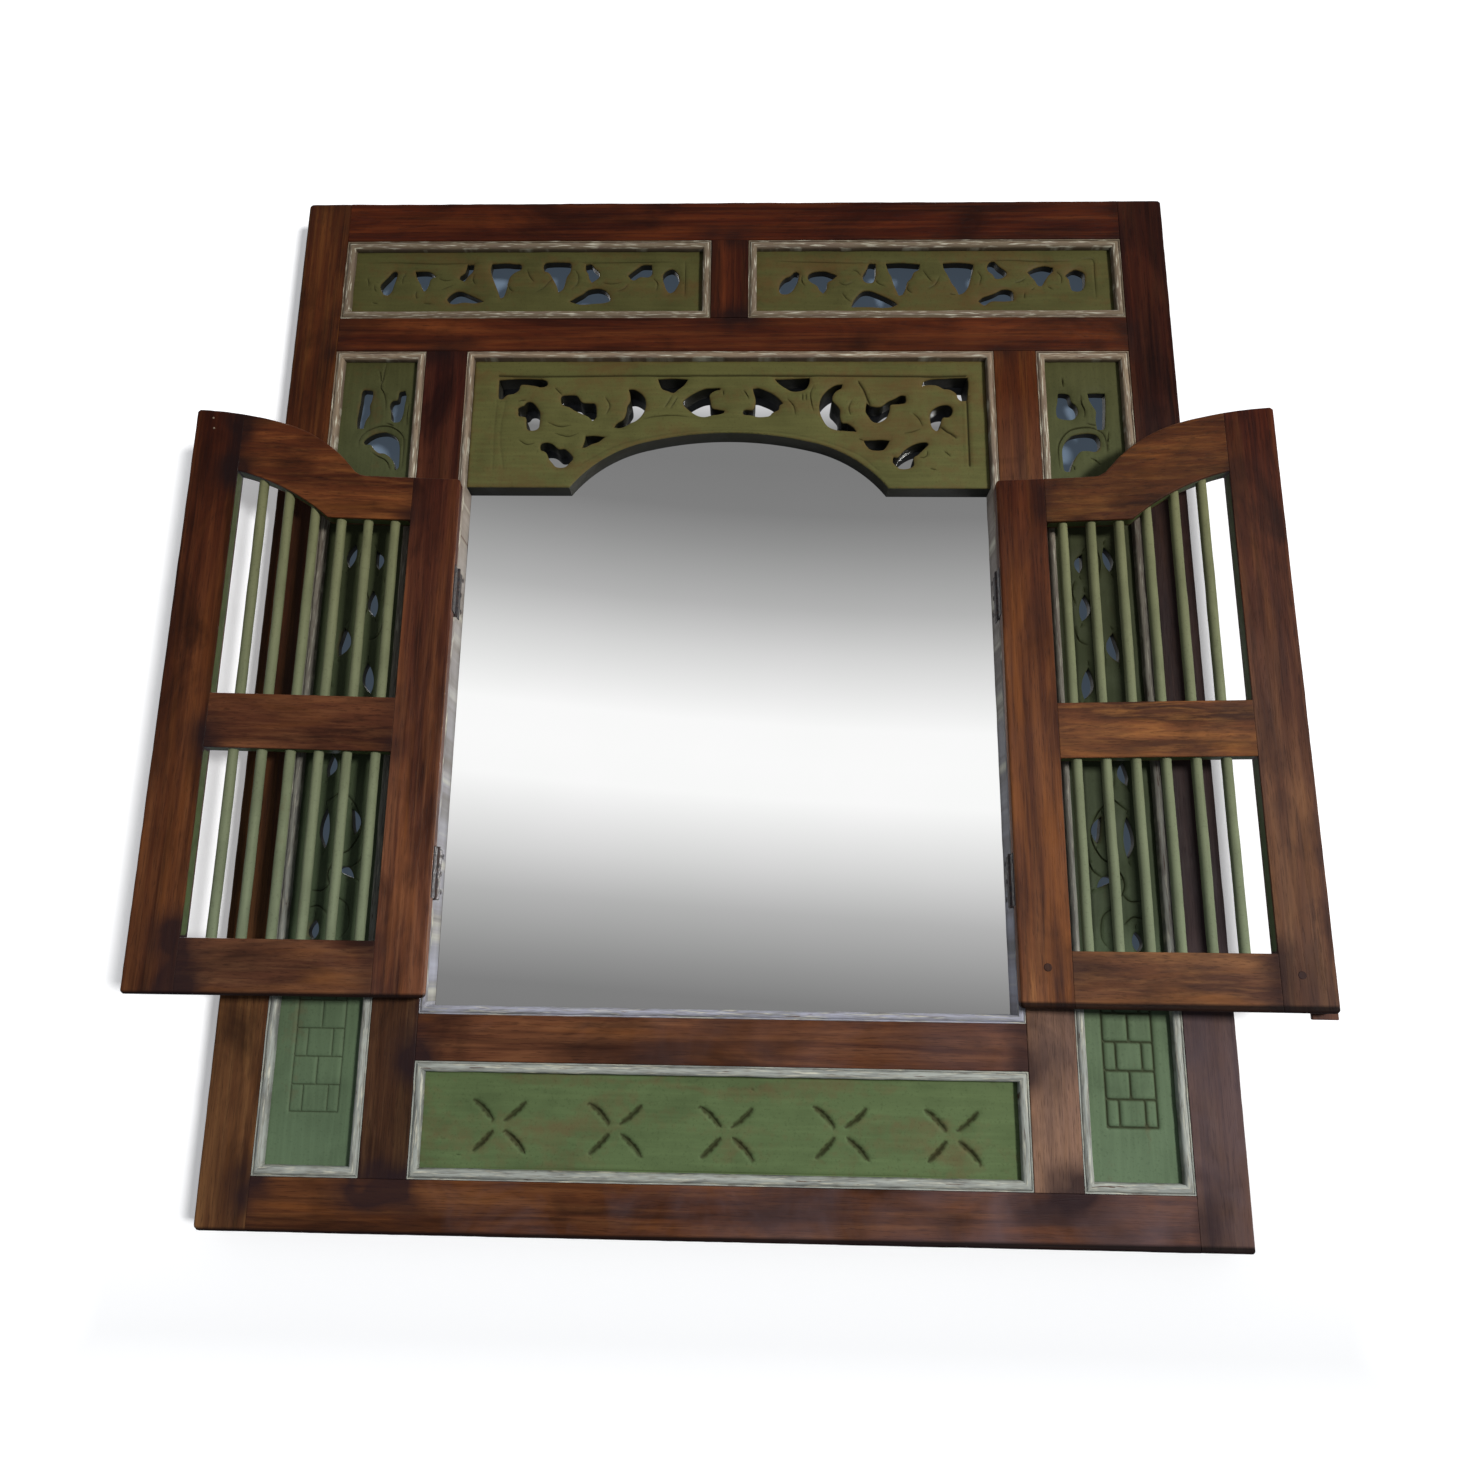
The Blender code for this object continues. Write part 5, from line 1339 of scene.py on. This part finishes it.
def cream_finish(name, seed, worn=0.5, painted_cool_light=0.0, painted_shade_share=0.0, cream_top=(134, 116, 96)):
    """Old cream paint, thin in streaks along the bead and chipped to the wood.

    It is darker above and cooler and lighter below as painted light, has brighter streaks as painted
    highlights, and is darkened in its creases and behind the shutters as painted shade.
    """
    make = Finish(name)
    along = make.node("ShaderNodeCombineXYZ", None,
                      {"X": make.mark("run") + seed * 3.7, "Y": make.mark("inset") * 14.0,
                       "Z": seed * 0.31})

    def streaks(scale, detail=4.0, twist=0.0):
        return make.cloud(along, scale, detail, twist)

    height, = make.parts(make.place, "Z")
    painted_low_light = make.limit(height, -0.25, -0.95)
    # Darker and warmer above, lighter and cooler below: painted light.
    cream = make.mix(painted_low_light, paint(*cream_top), paint(164, 170, 148))
    cream = make.mix(painted_low_light * painted_cool_light, cream, paint(160, 160, 184))
    faded = make.mix(painted_low_light, paint(108, 92, 80), paint(112, 114, 112))
    base = make.mix(make.limit(streaks(24.0, 4.0, 0.3), 0.44, 0.64) * 0.75, cream, faded)
    base = make.mix(make.limit(streaks(62.0), 0.48, 0.74) * 0.6, base, paint(96, 84, 68))
    # Brighter streaks along the bead: painted highlights.
    base = make.mix(make.limit(streaks(48.0, 3.0), 0.54, 0.72) * 0.75, base,
                    paint(216, 213, 192))
    chips = make.limit(streaks(38.0, 5.0, 0.5) + make.mark("crest") * 0.04 + worn * 0.05,
                       0.73, 0.76)
    base = make.mix(chips * 0.85, base, paint(78, 48, 34))
    # Darkened in the bead's creases: painted shade.
    base = make.mix(make.mark("hollow") * 0.38, base, paint(34, 26, 16))
    # Painted shade where the open shutters stand.
    if painted_shade_share:
        base = make.mix(shutter_shade_mask(make) * painted_shade_share, base, paint(44, 38, 38))
    rough = make.limit(make.cloud(make.place, 30.0, 4.0), 0.3, 0.7, 0.50, 0.70)
    return make.coat(base, rough, streaks(70.0) * 0.8 - chips, 0.0003, CREAM_SHEEN)


def bead_section(width, back):
    """The bead's section as (distance in, Y from the front face, how hollow, how high); the hollow is
    painted dark as shade.
    """
    fillet, quirk, fillet_set, proud = 0.0012, 0.0004, 0.0006, 0.0008
    worn, nick = 0.0003, 0.0002
    radius = (width - fillet - quirk) / 2
    middle = width - radius
    floor = fillet_set + worn
    section = [(GAP, back, 0, 0), (GAP, fillet_set + quirk, 0, 0),
               (GAP + worn, fillet_set, 0, 0.3), (fillet - worn, fillet_set, 0, 0.4),
               (fillet, fillet_set + nick, 0.1, 0.2), (fillet, floor, 0.35, 0),
               (fillet + quirk, floor, 0.35, 0)]
    for step in range(1, ARC_STEPS):
        angle = math.pi * step / ARC_STEPS
        section.append((middle - radius * math.cos(angle),
                        radius - proud - radius * math.sin(angle),
                        max(0, 0.7 - 2.2 * math.sin(angle)), math.sin(angle) ** 2))
    section += [(width, radius - proud, 0.3, 0), (width, (radius + back) / 2, 0.1, 0),
                (width, back, 0.9, 0)]
    return section


def bead(name, opening, width, back, front, material, seed):
    """A moulding mitred round the inside of an opening, worn uneven along its crest."""
    left, right, low, high = opening
    ring = [(left, low, 1, 1), (right, low, -1, 1), (right, high, -1, -1), (left, high, 1, -1)]
    section = bead_section(width, back)
    corners, faces, stops = [], [], []
    marks = {"hollow": [], "crest": [], "run": [], "inset": []}
    run = 0.0
    for (x1, z1, a1, b1), (x2, z2, a2, b2) in zip(ring, ring[1:] + ring[:1]):
        length = math.hypot(x2 - x1, z2 - z1)
        parts = max(2, round(length / BEAD_STEP))
        for k in range(parts):
            stops.append((x1, z1, a1, b1, x2, z2, a2, b2, k / parts, run + length * k / parts))
        run += length
    count = len(section)
    for x1, z1, a1, b1, x2, z2, a2, b2, t, along in stops:
        wave = noise.noise(Vector((seed, along * 60, 0)))
        knock = noise.noise(Vector((seed + 9, along * 190, 0)))
        stray = noise.noise(Vector((seed + 17, along * 30, 0))) * 0.0005
        for inset, y, is_hollow, is_crest in section:
            over = inset + (stray if is_crest or is_hollow else 0)
            x = (x1 + a1 * over) * (1 - t) + (x2 + a2 * over) * t
            z = (z1 + b1 * over) * (1 - t) + (z2 + b2 * over) * t
            drop = is_crest * (0.0003 * (wave + 0.5) + max(0, knock - 0.2) * 0.0014)
            corners.append((x, front + y + max(0, drop), z))
            for mark, value in zip(marks.values(), (is_hollow, is_crest, along, inset)):
                mark.append(value)
    total = len(stops)
    for k in range(total):
        for m in range(count):
            a, b = k * count + m, k * count + (m + 1) % count
            c, d = ((k + 1) % total) * count + (m + 1) % count, ((k + 1) % total) * count + m
            faces.append((a, d, c, b))
    return shape_mesh(name, corners, faces, marks, material, math.radians(40))


def outward(item):
    """Turn every face of a closed piece outwards."""
    shape = bmesh.new()
    shape.from_mesh(item.data)
    bmesh.ops.recalc_face_normals(shape, faces=shape.faces)
    shape.to_mesh(item.data)
    shape.free()


front_y = frame_y[0]
# Each bead's wear, how far it is darkened as painted shade behind the shutters, and its cream at the
# top, darker on the top beads as painted shade.
BEAD_FINISHES = {"top_left": (0.2, 0.0, (110, 97, 79)), "top_right": (0.5, 0.0, (110, 97, 79)),
                 "left_side": (0.5, 0.35, (132, 115, 95)),
                 "right_side": (1.0, 0.5, (132, 115, 95)), "bottom": (0.9, 0.0, (132, 115, 95))}
for seed, (name, (worn, painted_shade_share, cream_top)) in enumerate(BEAD_FINISHES.items(), 41):
    item = bead(name + "_moulding", opening_of(name + "_bead", -GAP), BEAD_WIDTH,
                boxes[name + "_bead"][1].y - front_y, front_y,
                cream_finish(name + "_cream", seed, worn, 0.3, painted_shade_share, cream_top), seed)
    outward(item)
    settle(item, "frame", "cream_paint", name + "_bead")


# The mirror: a lining painted cream round its opening, with recesses for the hinges, the
# silvered glass against it, and a hardboard back held in its rebate by small nails.

RECESS_X = (0.2873, 0.29135)
RECESS_Y = (front_y - 0.0052, front_y + 0.0151)
BOX_SIDES = ((0, 1, 3, 2), (4, 6, 7, 5), (0, 4, 5, 1), (2, 3, 7, 6), (0, 2, 6, 4), (1, 5, 7, 3))
hinge_leaves = {name: box for name, box in boxes.items() if name.endswith("frame_leaf")}


def cut_out(item, hollows):
    """Cut boxes, each given by two corners, out of a closed piece."""
    corners, faces = [], []
    for low, high in hollows:
        first = len(corners)
        corners += [(x, y, z) for x in (low[0], high[0]) for y in (low[1], high[1])
                    for z in (low[2], high[2])]
        faces += [tuple(first + k for k in side) for side in BOX_SIDES]
    cutter = shape_mesh(item.name + "_cutter", corners, faces, {}, item.data.materials[0])
    outward(cutter)
    modifier = item.modifiers.new("recesses", "BOOLEAN")
    modifier.operation = "DIFFERENCE"
    modifier.solver = "EXACT"
    modifier.object = cutter
    depsgraph = bpy.context.evaluated_depsgraph_get()
    mesh = bpy.data.meshes.new_from_object(item.evaluated_get(depsgraph))
    item.modifiers.clear()
    item.data = mesh
    bpy.data.objects.remove(cutter)


lining = bead("lining_moulding", opening_of("mirror_lining", -GAP), LINING_WIDTH,
              boxes["mirror_lining"][1].y - front_y, front_y,
              cream_finish("lining_cream", 47, 0.3, 0.8), 47)
outward(lining)
hollows = []
for name, (leaf_low, leaf_high) in hinge_leaves.items():
    hand = -1 if name.startswith("left") else 1
    near, far = sorted(hand * x for x in RECESS_X)
    hollows.append(((near, RECESS_Y[0], leaf_low.z - GAP), (far, RECESS_Y[1], leaf_high.z + GAP)))
cut_out(lining, hollows)
lining.visible_glossy = False
settle(lining, "frame", "cream_paint", "mirror_lining")


def mirror_finish():
    make = Finish("silvered_glass")
    haze = make.cloud(make.place, 9.0, 3.0)
    tint = make.mix(make.limit(haze, 0.35, 0.65), (0.945, 0.95, 0.945), (0.955, 0.955, 0.955))
    return make.coat(tint, make.limit(haze, 0.4, 0.7, 0.012, 0.018), metal=1.0)


def board_finish():
    make = Finish("hardboard")
    fibre = make.cloud(make.place, 520.0, 4.0)
    base = make.mix(make.limit(fibre, 0.35, 0.7), paint(118, 86, 58), paint(88, 62, 40))
    stains = make.limit(make.cloud(make.place, 7.0, 5.0), 0.5, 0.7)
    base = make.mix(stains * 0.5, base, paint(70, 52, 38))
    return make.coat(base, 0.8, fibre, 0.0003)


def refinish(node, material):
    item = frame["nodes"][node]
    item.data.materials.clear()
    item.data.materials.append(material)


refinish("mirror_glass", mirror_finish())
refinish("backing_board", board_finish())


# Butt hinges of drawn iron, two to a shutter: rolled knuckles round a loose pin, let into
# the lining and the shutter's edge, dark with age and patched with rust.

def iron_finish():
    make = Finish("aged_iron")
    rust = make.cloud(make.place, 260.0, 4.0)
    base = make.mix(make.limit(rust, 0.45, 0.62), paint(40, 38, 40), paint(44, 27, 20))
    return make.coat(base, make.limit(rust, 0.3, 0.7, 0.35, 0.75),
                     metal=make.limit(rust, 0.45, 0.62, 0.9, 0.2))


iron = iron_finish()
for name in frame["nodes"]:
    if "_hinge_" in name and "stile" not in name:
        refinish(name, iron)
        frame["nodes"][name].visible_glossy = False


# Shutters: stiles and rails of teak round two windows, with a curved top that fits under
# the header's arch. They are drawn closed and turned on their hinges to where they hang.

SHUTTER_GAP = 0.0002
WINDOW_ARRIS, CAD_ARRIS = 0.0012, 0.0013
STILE_RECESS, STILE_RECESS_Y = 0.00185, (-0.001, 0.0173)
CORNER_ROUND = 0.004
SHUTTER_LILAC = 0.12
MEMBERS = ("hinge_stile", "meeting_stile", "top_rail", "mid_rail", "bottom_rail")
# The tints of each member, in that order, at its top and at its foot; a rail has one. The foot is
# lighter than the top, partly as painted light.
SHUTTER_TONES = {
    -1: (((0.48, 0.28, 0.35), (1.40, 1.32, 1.35)), ((0.50, 0.33, 0.28), (1.00, 0.88, 0.72)),
         [(1.03, 1.04, 0.82)] * 2, [(0.89, 0.88, 0.88)] * 2, [(0.97, 1.01, 1.06)] * 2),
    1: (((0.42, 0.16, 0.10), (1.50, 1.38, 1.05)), ((0.56, 0.28, 0.18), (1.00, 1.15, 1.18)),
        [(1.05, 1.20, 0.88)] * 2, [(1.92, 1.98, 1.28)] * 2, [(1.22, 1.27, 1.08)] * 2)}
# How dark the wax is where the rails meet the (hinge, meeting) stile.
RAIL_WAX = {-1: {"top_rail": (0.6, 1.0), "mid_rail": (0.5, 0.9), "bottom_rail": (0.6, 1.2)},
            1: {"top_rail": (0.6, 0.9), "mid_rail": (0.5, 0.6), "bottom_rail": (0.4, 0.6)}}

shutter_rows = []
for joint in frame["joints"]:
    shutter = joint["child"]
    hand = -1 if shutter.startswith("left") else 1
    closed = joint["range_deg"][1] if hand < 0 else -joint["range_deg"][0]
    hinge = Vector((joint["pos_m"][0], joint["pos_m"][1], 0))
    turn = Matrix.Rotation(hand * math.radians(closed), 4, "Z")
    to_rest = Matrix.Translation(hinge) @ turn
    shutter_rows.append((shutter, hand, to_rest))


def edge_heights(loop):
    """The low and the high edge of a board as functions of X, from its face inside the arris."""
    loop = faired(loop, OUTLINE_STEP, OUTLINE_CORNER)
    left, right = loop[:, 0].min() + 1e-5, loop[:, 0].max() - 1e-5

    def crossings(place):
        place = min(max(place, left), right)
        return [z1 + (z2 - z1) * (place - x1) / (x2 - x1)
                for (x1, z1), (x2, z2) in zip(loop, np.roll(loop, -1, 0))
                if (x1 > place) != (x2 > place)]

    return (lambda place: min(crossings(place)) - CAD_ARRIS,
            lambda place: max(crossings(place)) + CAD_ARRIS)


for shutter, hand, to_rest in shutter_rows:
    drawn = to_rest.inverted()
    edges = {part: edge_heights(seen_face(f"{shutter}_{part}", drawn)[0]) for part in MEMBERS}
    spans = {}
    for part in MEMBERS:
        corners = [drawn @ vert.co for vert in frame["nodes"][f"{shutter}_{part}"].data.vertices]
        spans[part] = [limit(corner.x for corner in corners) for limit in (min, max)]
        if part == "mid_rail":
            faces_y = [limit(corner.y for corner in corners) for limit in (min, max)]
    hinge_window = spans["hinge_stile"][0 if hand > 0 else 1]
    meeting_window = spans["meeting_stile"][1 if hand > 0 else 0]
    wax_lines = []
    for rail, strengths in RAIL_WAX[hand].items():
        for x, strength in zip((hinge_window, meeting_window), strengths):
            wax_lines.append((((x, edges[rail][0](x)), (x, edges[rail][1](x))), strength))
    for row, part in enumerate(MEMBERS):
        upright = "stile" in part
        window_side = hand if part == "meeting_stile" else -hand
        if upright:
            sides = (TIGHT_ARRIS, OUTER_ARRIS) if window_side < 0 else (OUTER_ARRIS, TIGHT_ARRIS)
            arrises = (*sides, OUTER_ARRIS, OUTER_ARRIS)
            painted = "l" if window_side < 0 else "r"
            rounded = [(-window_side, end, CORNER_ROUND) for end in (1, -1)]
            across = spans[part]
        else:
            painted = {"top_rail": "b", "mid_rail": "bt", "bottom_rail": "t"}[part]
            arrises = (TIGHT_ARRIS, TIGHT_ARRIS, WINDOW_ARRIS if "b" in painted else OUTER_ARRIS,
                       WINDOW_ARRIS if "t" in painted else OUTER_ARRIS)
            rounded = []
            across = sorted((hinge_window, meeting_window))
            across = (across[0] + SHUTTER_GAP, across[1] - SHUTTER_GAP)
        name = f"{shutter}_{part}"
        seed = 50 + row + 7 * hand
        finish = teak(name + "_teak", upright, seed, SHUTTER_TONES[hand][row],
                      lilac=SHUTTER_LILAC, low_edge=boxes[shutter + "_bottom_rail"][0].z)
        item = timber(name + "_board", across, *edges[part], faces_y, finish, seed, arrises,
                      wax_lines, painted, rounded)
        if part == "hinge_stile":
            near, far = sorted((0.0, -hand * STILE_RECESS))
            cut_out(item, [((near, STILE_RECESS_Y[0], box[0].z - GAP),
                            (far, STILE_RECESS_Y[1], box[1].z + GAP))
                           for leaf, box in hinge_leaves.items() if (hand < 0) == ("left" in leaf)])
        item.data.transform(to_rest)
        item.visible_glossy = False
        settle(item, shutter, "teak", name)
    if hand < 0:
        left_outer = spans["meeting_stile"][1]
refinish("right_shutter_lap_strip", teak("lap_strip_teak", True, 71))


# Dowels: six round rods to a shutter, whittled by hand and let into its rails, painted the
# green of the panels. One tree of nodes turns lines into rods that are not quite true.

DOWELS = 6
DOWEL_RADIUS, DOWEL_END, DOWEL_WAVER = 0.0053, 0.002, 0.002


def tree_with(name, sockets):
    """An empty Geometry Nodes tree that takes a geometry and the named sockets."""
    tree = bpy.data.node_groups.new(name, "GeometryNodeTree")
    tree.interface.new_socket("Geometry", in_out="OUTPUT", socket_type="NodeSocketGeometry")
    for label, kind in [("Geometry", "Geometry"), *sockets]:
        tree.interface.new_socket(label, in_out="INPUT", socket_type="NodeSocket" + kind)
    make = Recipe(tree)
    return make, make.node("NodeGroupInput", out="Geometry")


def end_with(make, geometry, material):
    geometry = make.node("GeometryNodeRealizeInstances", None, {"Geometry": geometry})
    geometry = make.node("GeometryNodeSetMaterial", None,
                         {"Geometry": geometry, "Material": material})
    make.node("NodeGroupOutput", None, {"Geometry": geometry})
    return make.tree


def grown(name, tree, points, lines, facings, values):
    """A plain mesh that a tree makes from points or lines."""
    mesh = bpy.data.meshes.new(name)
    mesh.from_pydata([tuple(point) for point in points], lines, [])
    layer = mesh.attributes.new("facing", "FLOAT_VECTOR", "POINT")
    layer.data.foreach_set("vector", np.ravel([tuple(facing) for facing in facings]))
    item = bpy.data.objects.new(name, mesh)
    bpy.context.scene.collection.objects.link(item)
    modifier = item.modifiers.new(name, "NODES")
    modifier.node_group = tree
    for socket in tree.interface.items_tree:
        if socket.in_out == "INPUT" and socket.name in values:
            modifier[socket.identifier] = values[socket.name]
    depsgraph = bpy.context.evaluated_depsgraph_get()
    plain = bpy.data.meshes.new_from_object(item.evaluated_get(depsgraph))
    item.modifiers.clear()
    item.data = plain
    item.visible_glossy = False
    plain.shade_smooth()
    plain.set_sharp_from_angle(angle=math.radians(35))
    return item


def rod_tree():
    make, given = tree_with("rods", [("Radius", "Float"), ("Stations", "Int"),
                                     ("Waver", "Float"), ("Seed", "Float"),
                                     ("Material", "Material")])
    line = make.node("GeometryNodeMeshToCurve", None, {"Mesh": given})
    line = make.node("GeometryNodeResampleCurve", None,
                     {"Curve": line, "Count": given.also("Stations")})
    place = make.node("GeometryNodeInputPosition")
    wander = make.node("ShaderNodeTexNoise", {"noise_dimensions": "4D"},
                       {"Vector": place, "W": given.also("Seed"), "Scale": 7.0}, "Color")
    wander = make.node("ShaderNodeVectorMath", {"operation": "SUBTRACT"},
                       {0: wander, 1: (0.5, 0.5, 0.5)})
    wander = make.node("ShaderNodeVectorMath", {"operation": "SCALE"},
                       {0: wander, "Scale": given.also("Waver")})
    line = make.node("GeometryNodeSetPosition", None, {"Geometry": line, "Offset": wander})
    swell = make.node("ShaderNodeTexNoise", {"noise_dimensions": "4D"},
                      {"Vector": place, "W": given.also("Seed"), "Scale": 24.0})
    girth = given.also("Radius") * (swell * 0.20 + 0.88)
    section = make.node("GeometryNodeCurvePrimitiveCircle", None,
                        {"Resolution": 14, "Radius": 1.0})
    rods = make.node("GeometryNodeCurveToMesh", None,
                     {"Curve": line, "Profile Curve": section, "Scale": girth,
                      "Fill Caps": True})
    return end_with(make, rods, given.also("Material"))


rods = rod_tree()
for shutter, hand, to_rest in shutter_rows:
    nodes = [f"{shutter}_dowel_{index + 1}" for index in range(DOWELS)]
    ends = []
    for node in nodes:
        low, high = boxes[node]
        middle = (low + high) / 2
        ends += [(middle.x, middle.y, low.z + DOWEL_END), (middle.x, middle.y, high.z - DOWEL_END)]
    finish = green_finish(shutter + "_dowel_paint", 60 + hand, (104, 99, 62), (119, 131, 107),
                          0.2, True)
    item = grown(shutter + "_dowels", rods, ends,
                 [(2 * index, 2 * index + 1) for index in range(DOWELS)], ends,
                 {"Radius": DOWEL_RADIUS, "Stations": 90, "Waver": DOWEL_WAVER,
                  "Seed": 60.0 + hand, "Material": finish})
    settle(item, shutter, "green_paint", *nodes)


# Fixings: countersunk screws in the hinge leaves, wooden pegs in the right shutter, two brads
# in the left one and nails round the back. One tree sets their heads, turned at random.

# Each head's radius and height.
SCREW, PEG, BRAD, NAIL = (0.0029, 0.0004), (0.0041, 0.0008), (0.0011, 0.0005), (0.0024, 0.0005)
SCREW_PITCH, SCREW_OVER, SCREW_STAGGER = 0.018, 0.0105, 0.002
SCREW_SEAT = (0.0002, 0.00045)
HEAD_SUNK = 0.0001
# The pegs' places from the hinge, with their heights, and the brads' from the top corner.
PEG_PLACES = ((0.028, -0.8485), (0.258, -0.8525))
BRAD_PLACES = ((0.018, 0.010), (0.020, 0.022))
NAIL_INSET, NAIL_CORNER = (0.012, 0.010), 0.12


def fixing_tree():
    make, given = tree_with("fixings", [("Radius", "Float"), ("Height", "Float"),
                                        ("Slotted", "Bool"), ("Seed", "Int"),
                                        ("Material", "Material")])
    radius, height = given.also("Radius"), given.also("Height")
    head = make.node("GeometryNodeMeshCone", None,
                     {"Vertices": 20, "Radius Top": radius * 0.80, "Radius Bottom": radius,
                      "Depth": height})
    slot_size = make.node("ShaderNodeCombineXYZ", None,
                          {"X": radius * 3.0, "Y": radius * 0.28, "Z": height * 0.9})
    slot = make.node("GeometryNodeMeshCube", None, {"Size": slot_size})
    top = make.node("ShaderNodeCombineXYZ", None, {"Z": height})
    slot = make.node("GeometryNodeTransform", None, {"Geometry": slot, "Translation": top})
    cut = make.node("GeometryNodeMeshBoolean", {"operation": "DIFFERENCE", "solver": "EXACT"},
                    {"Mesh 1": head, "Mesh 2": slot})
    head = make.node("GeometryNodeSwitch", {"input_type": "GEOMETRY"},
                     {"Switch": given.also("Slotted"), "False": head, "True": cut})
    facing = make.node("GeometryNodeInputNamedAttribute", {"data_type": "FLOAT_VECTOR"},
                       {"Name": "facing"}, "Attribute")
    turn = make.node("FunctionNodeAlignRotationToVector", {"axis": "Z"}, {"Vector": facing})
    angle = make.node("FunctionNodeRandomValue", {"data_type": "FLOAT"},
                      {2: 0.0, 3: 3.14, "Seed": given.also("Seed")}, 1)
    spin = make.node("FunctionNodeAxisAngleToRotation", None, {"Axis": (0, 0, 1), "Angle": angle})
    turn = make.node("FunctionNodeRotateRotation", {"rotation_space": "LOCAL"},
                     {"Rotation": turn, "Rotate By": spin})
    heads = make.node("GeometryNodeInstanceOnPoints", None,
                      {"Points": given, "Instance": head, "Rotation": turn})
    return end_with(make, heads, given.also("Material"))


fixings = fixing_tree()


def fix(name, body, slot, rows, head, seed, material, slotted=False):
    """Heads at rows of (place, facing), as one piece."""
    item = grown(name, fixings, [place for place, _ in rows], [], [facing for _, facing in rows],
                 {"Radius": head[0], "Height": head[1], "Slotted": slotted, "Seed": seed,
                  "Material": material})
    settle(item, body, slot)


screw_rows = {"frame": [], "left_shutter": [], "right_shutter": []}
for shutter, hand, to_rest in shutter_rows:
    for leaf, (low, high) in hinge_leaves.items():
        if (hand < 0) != ("left" in leaf):
            continue
        middle = (low.z + high.z) / 2
        face_x = min(low.x, high.x, key=abs) + hand * SCREW_SEAT[0]
        for rise in (-SCREW_PITCH, 0.0, SCREW_PITCH):
            over = SCREW_OVER + (SCREW_STAGGER if rise else -SCREW_STAGGER)
            place = Vector((face_x, to_rest.translation.y + over, middle + rise))
            screw_rows["frame"].append((place, (-hand, 0, 0)))
            place = to_rest @ Vector((-hand * SCREW_SEAT[1], over, middle + rise))
            screw_rows[shutter].append((place, to_rest.to_3x3() @ Vector((hand, 0, 0))))
for body, rows in screw_rows.items():
    fix(body + "_screws", body, "hinge_iron", rows, SCREW, len(rows) + 3, iron, True)

for shutter, hand, to_rest in reversed(shutter_rows):
    facing = to_rest.to_3x3() @ Vector((0, 1, 0))
    if hand > 0:
        rows = [(to_rest @ Vector((-inward, faces_y[1] - PEG[1] / 2, height)), facing)
                for inward, height in PEG_PLACES]
        fix("right_shutter_pegs", shutter, "teak", rows, PEG, 5,
            teak("peg_teak", True, 73, [(0.4,) * 3] * 2))
    else:
        head_z = boxes[shutter + "_meeting_stile"][1].z
        rows = [(to_rest @ Vector((left_outer - inward, faces_y[1] - HEAD_SUNK, head_z - down)),
                 facing) for inward, down in BRAD_PLACES]
        fix("left_shutter_brads", shutter, "hinge_iron", rows, BRAD, 6,
            cream_finish("brad_paint", 48))

low, high = boxes["backing_board"]
nail_y = high.y - HEAD_SUNK
inset, edge = NAIL_INSET
nail_places = []
for x in np.linspace(low.x + inset, high.x - inset, 6):
    nail_places += [(x, nail_y, low.z + edge), (x, nail_y, high.z - edge)]
for z in np.linspace(low.z + NAIL_CORNER, high.z - NAIL_CORNER, 5):
    nail_places += [(low.x + edge, nail_y, z), (high.x - edge, nail_y, z)]
fix("backing_nails", "frame", "hinge_iron", [(place, (0, 1, 0)) for place in nail_places], NAIL,
    7, iron)
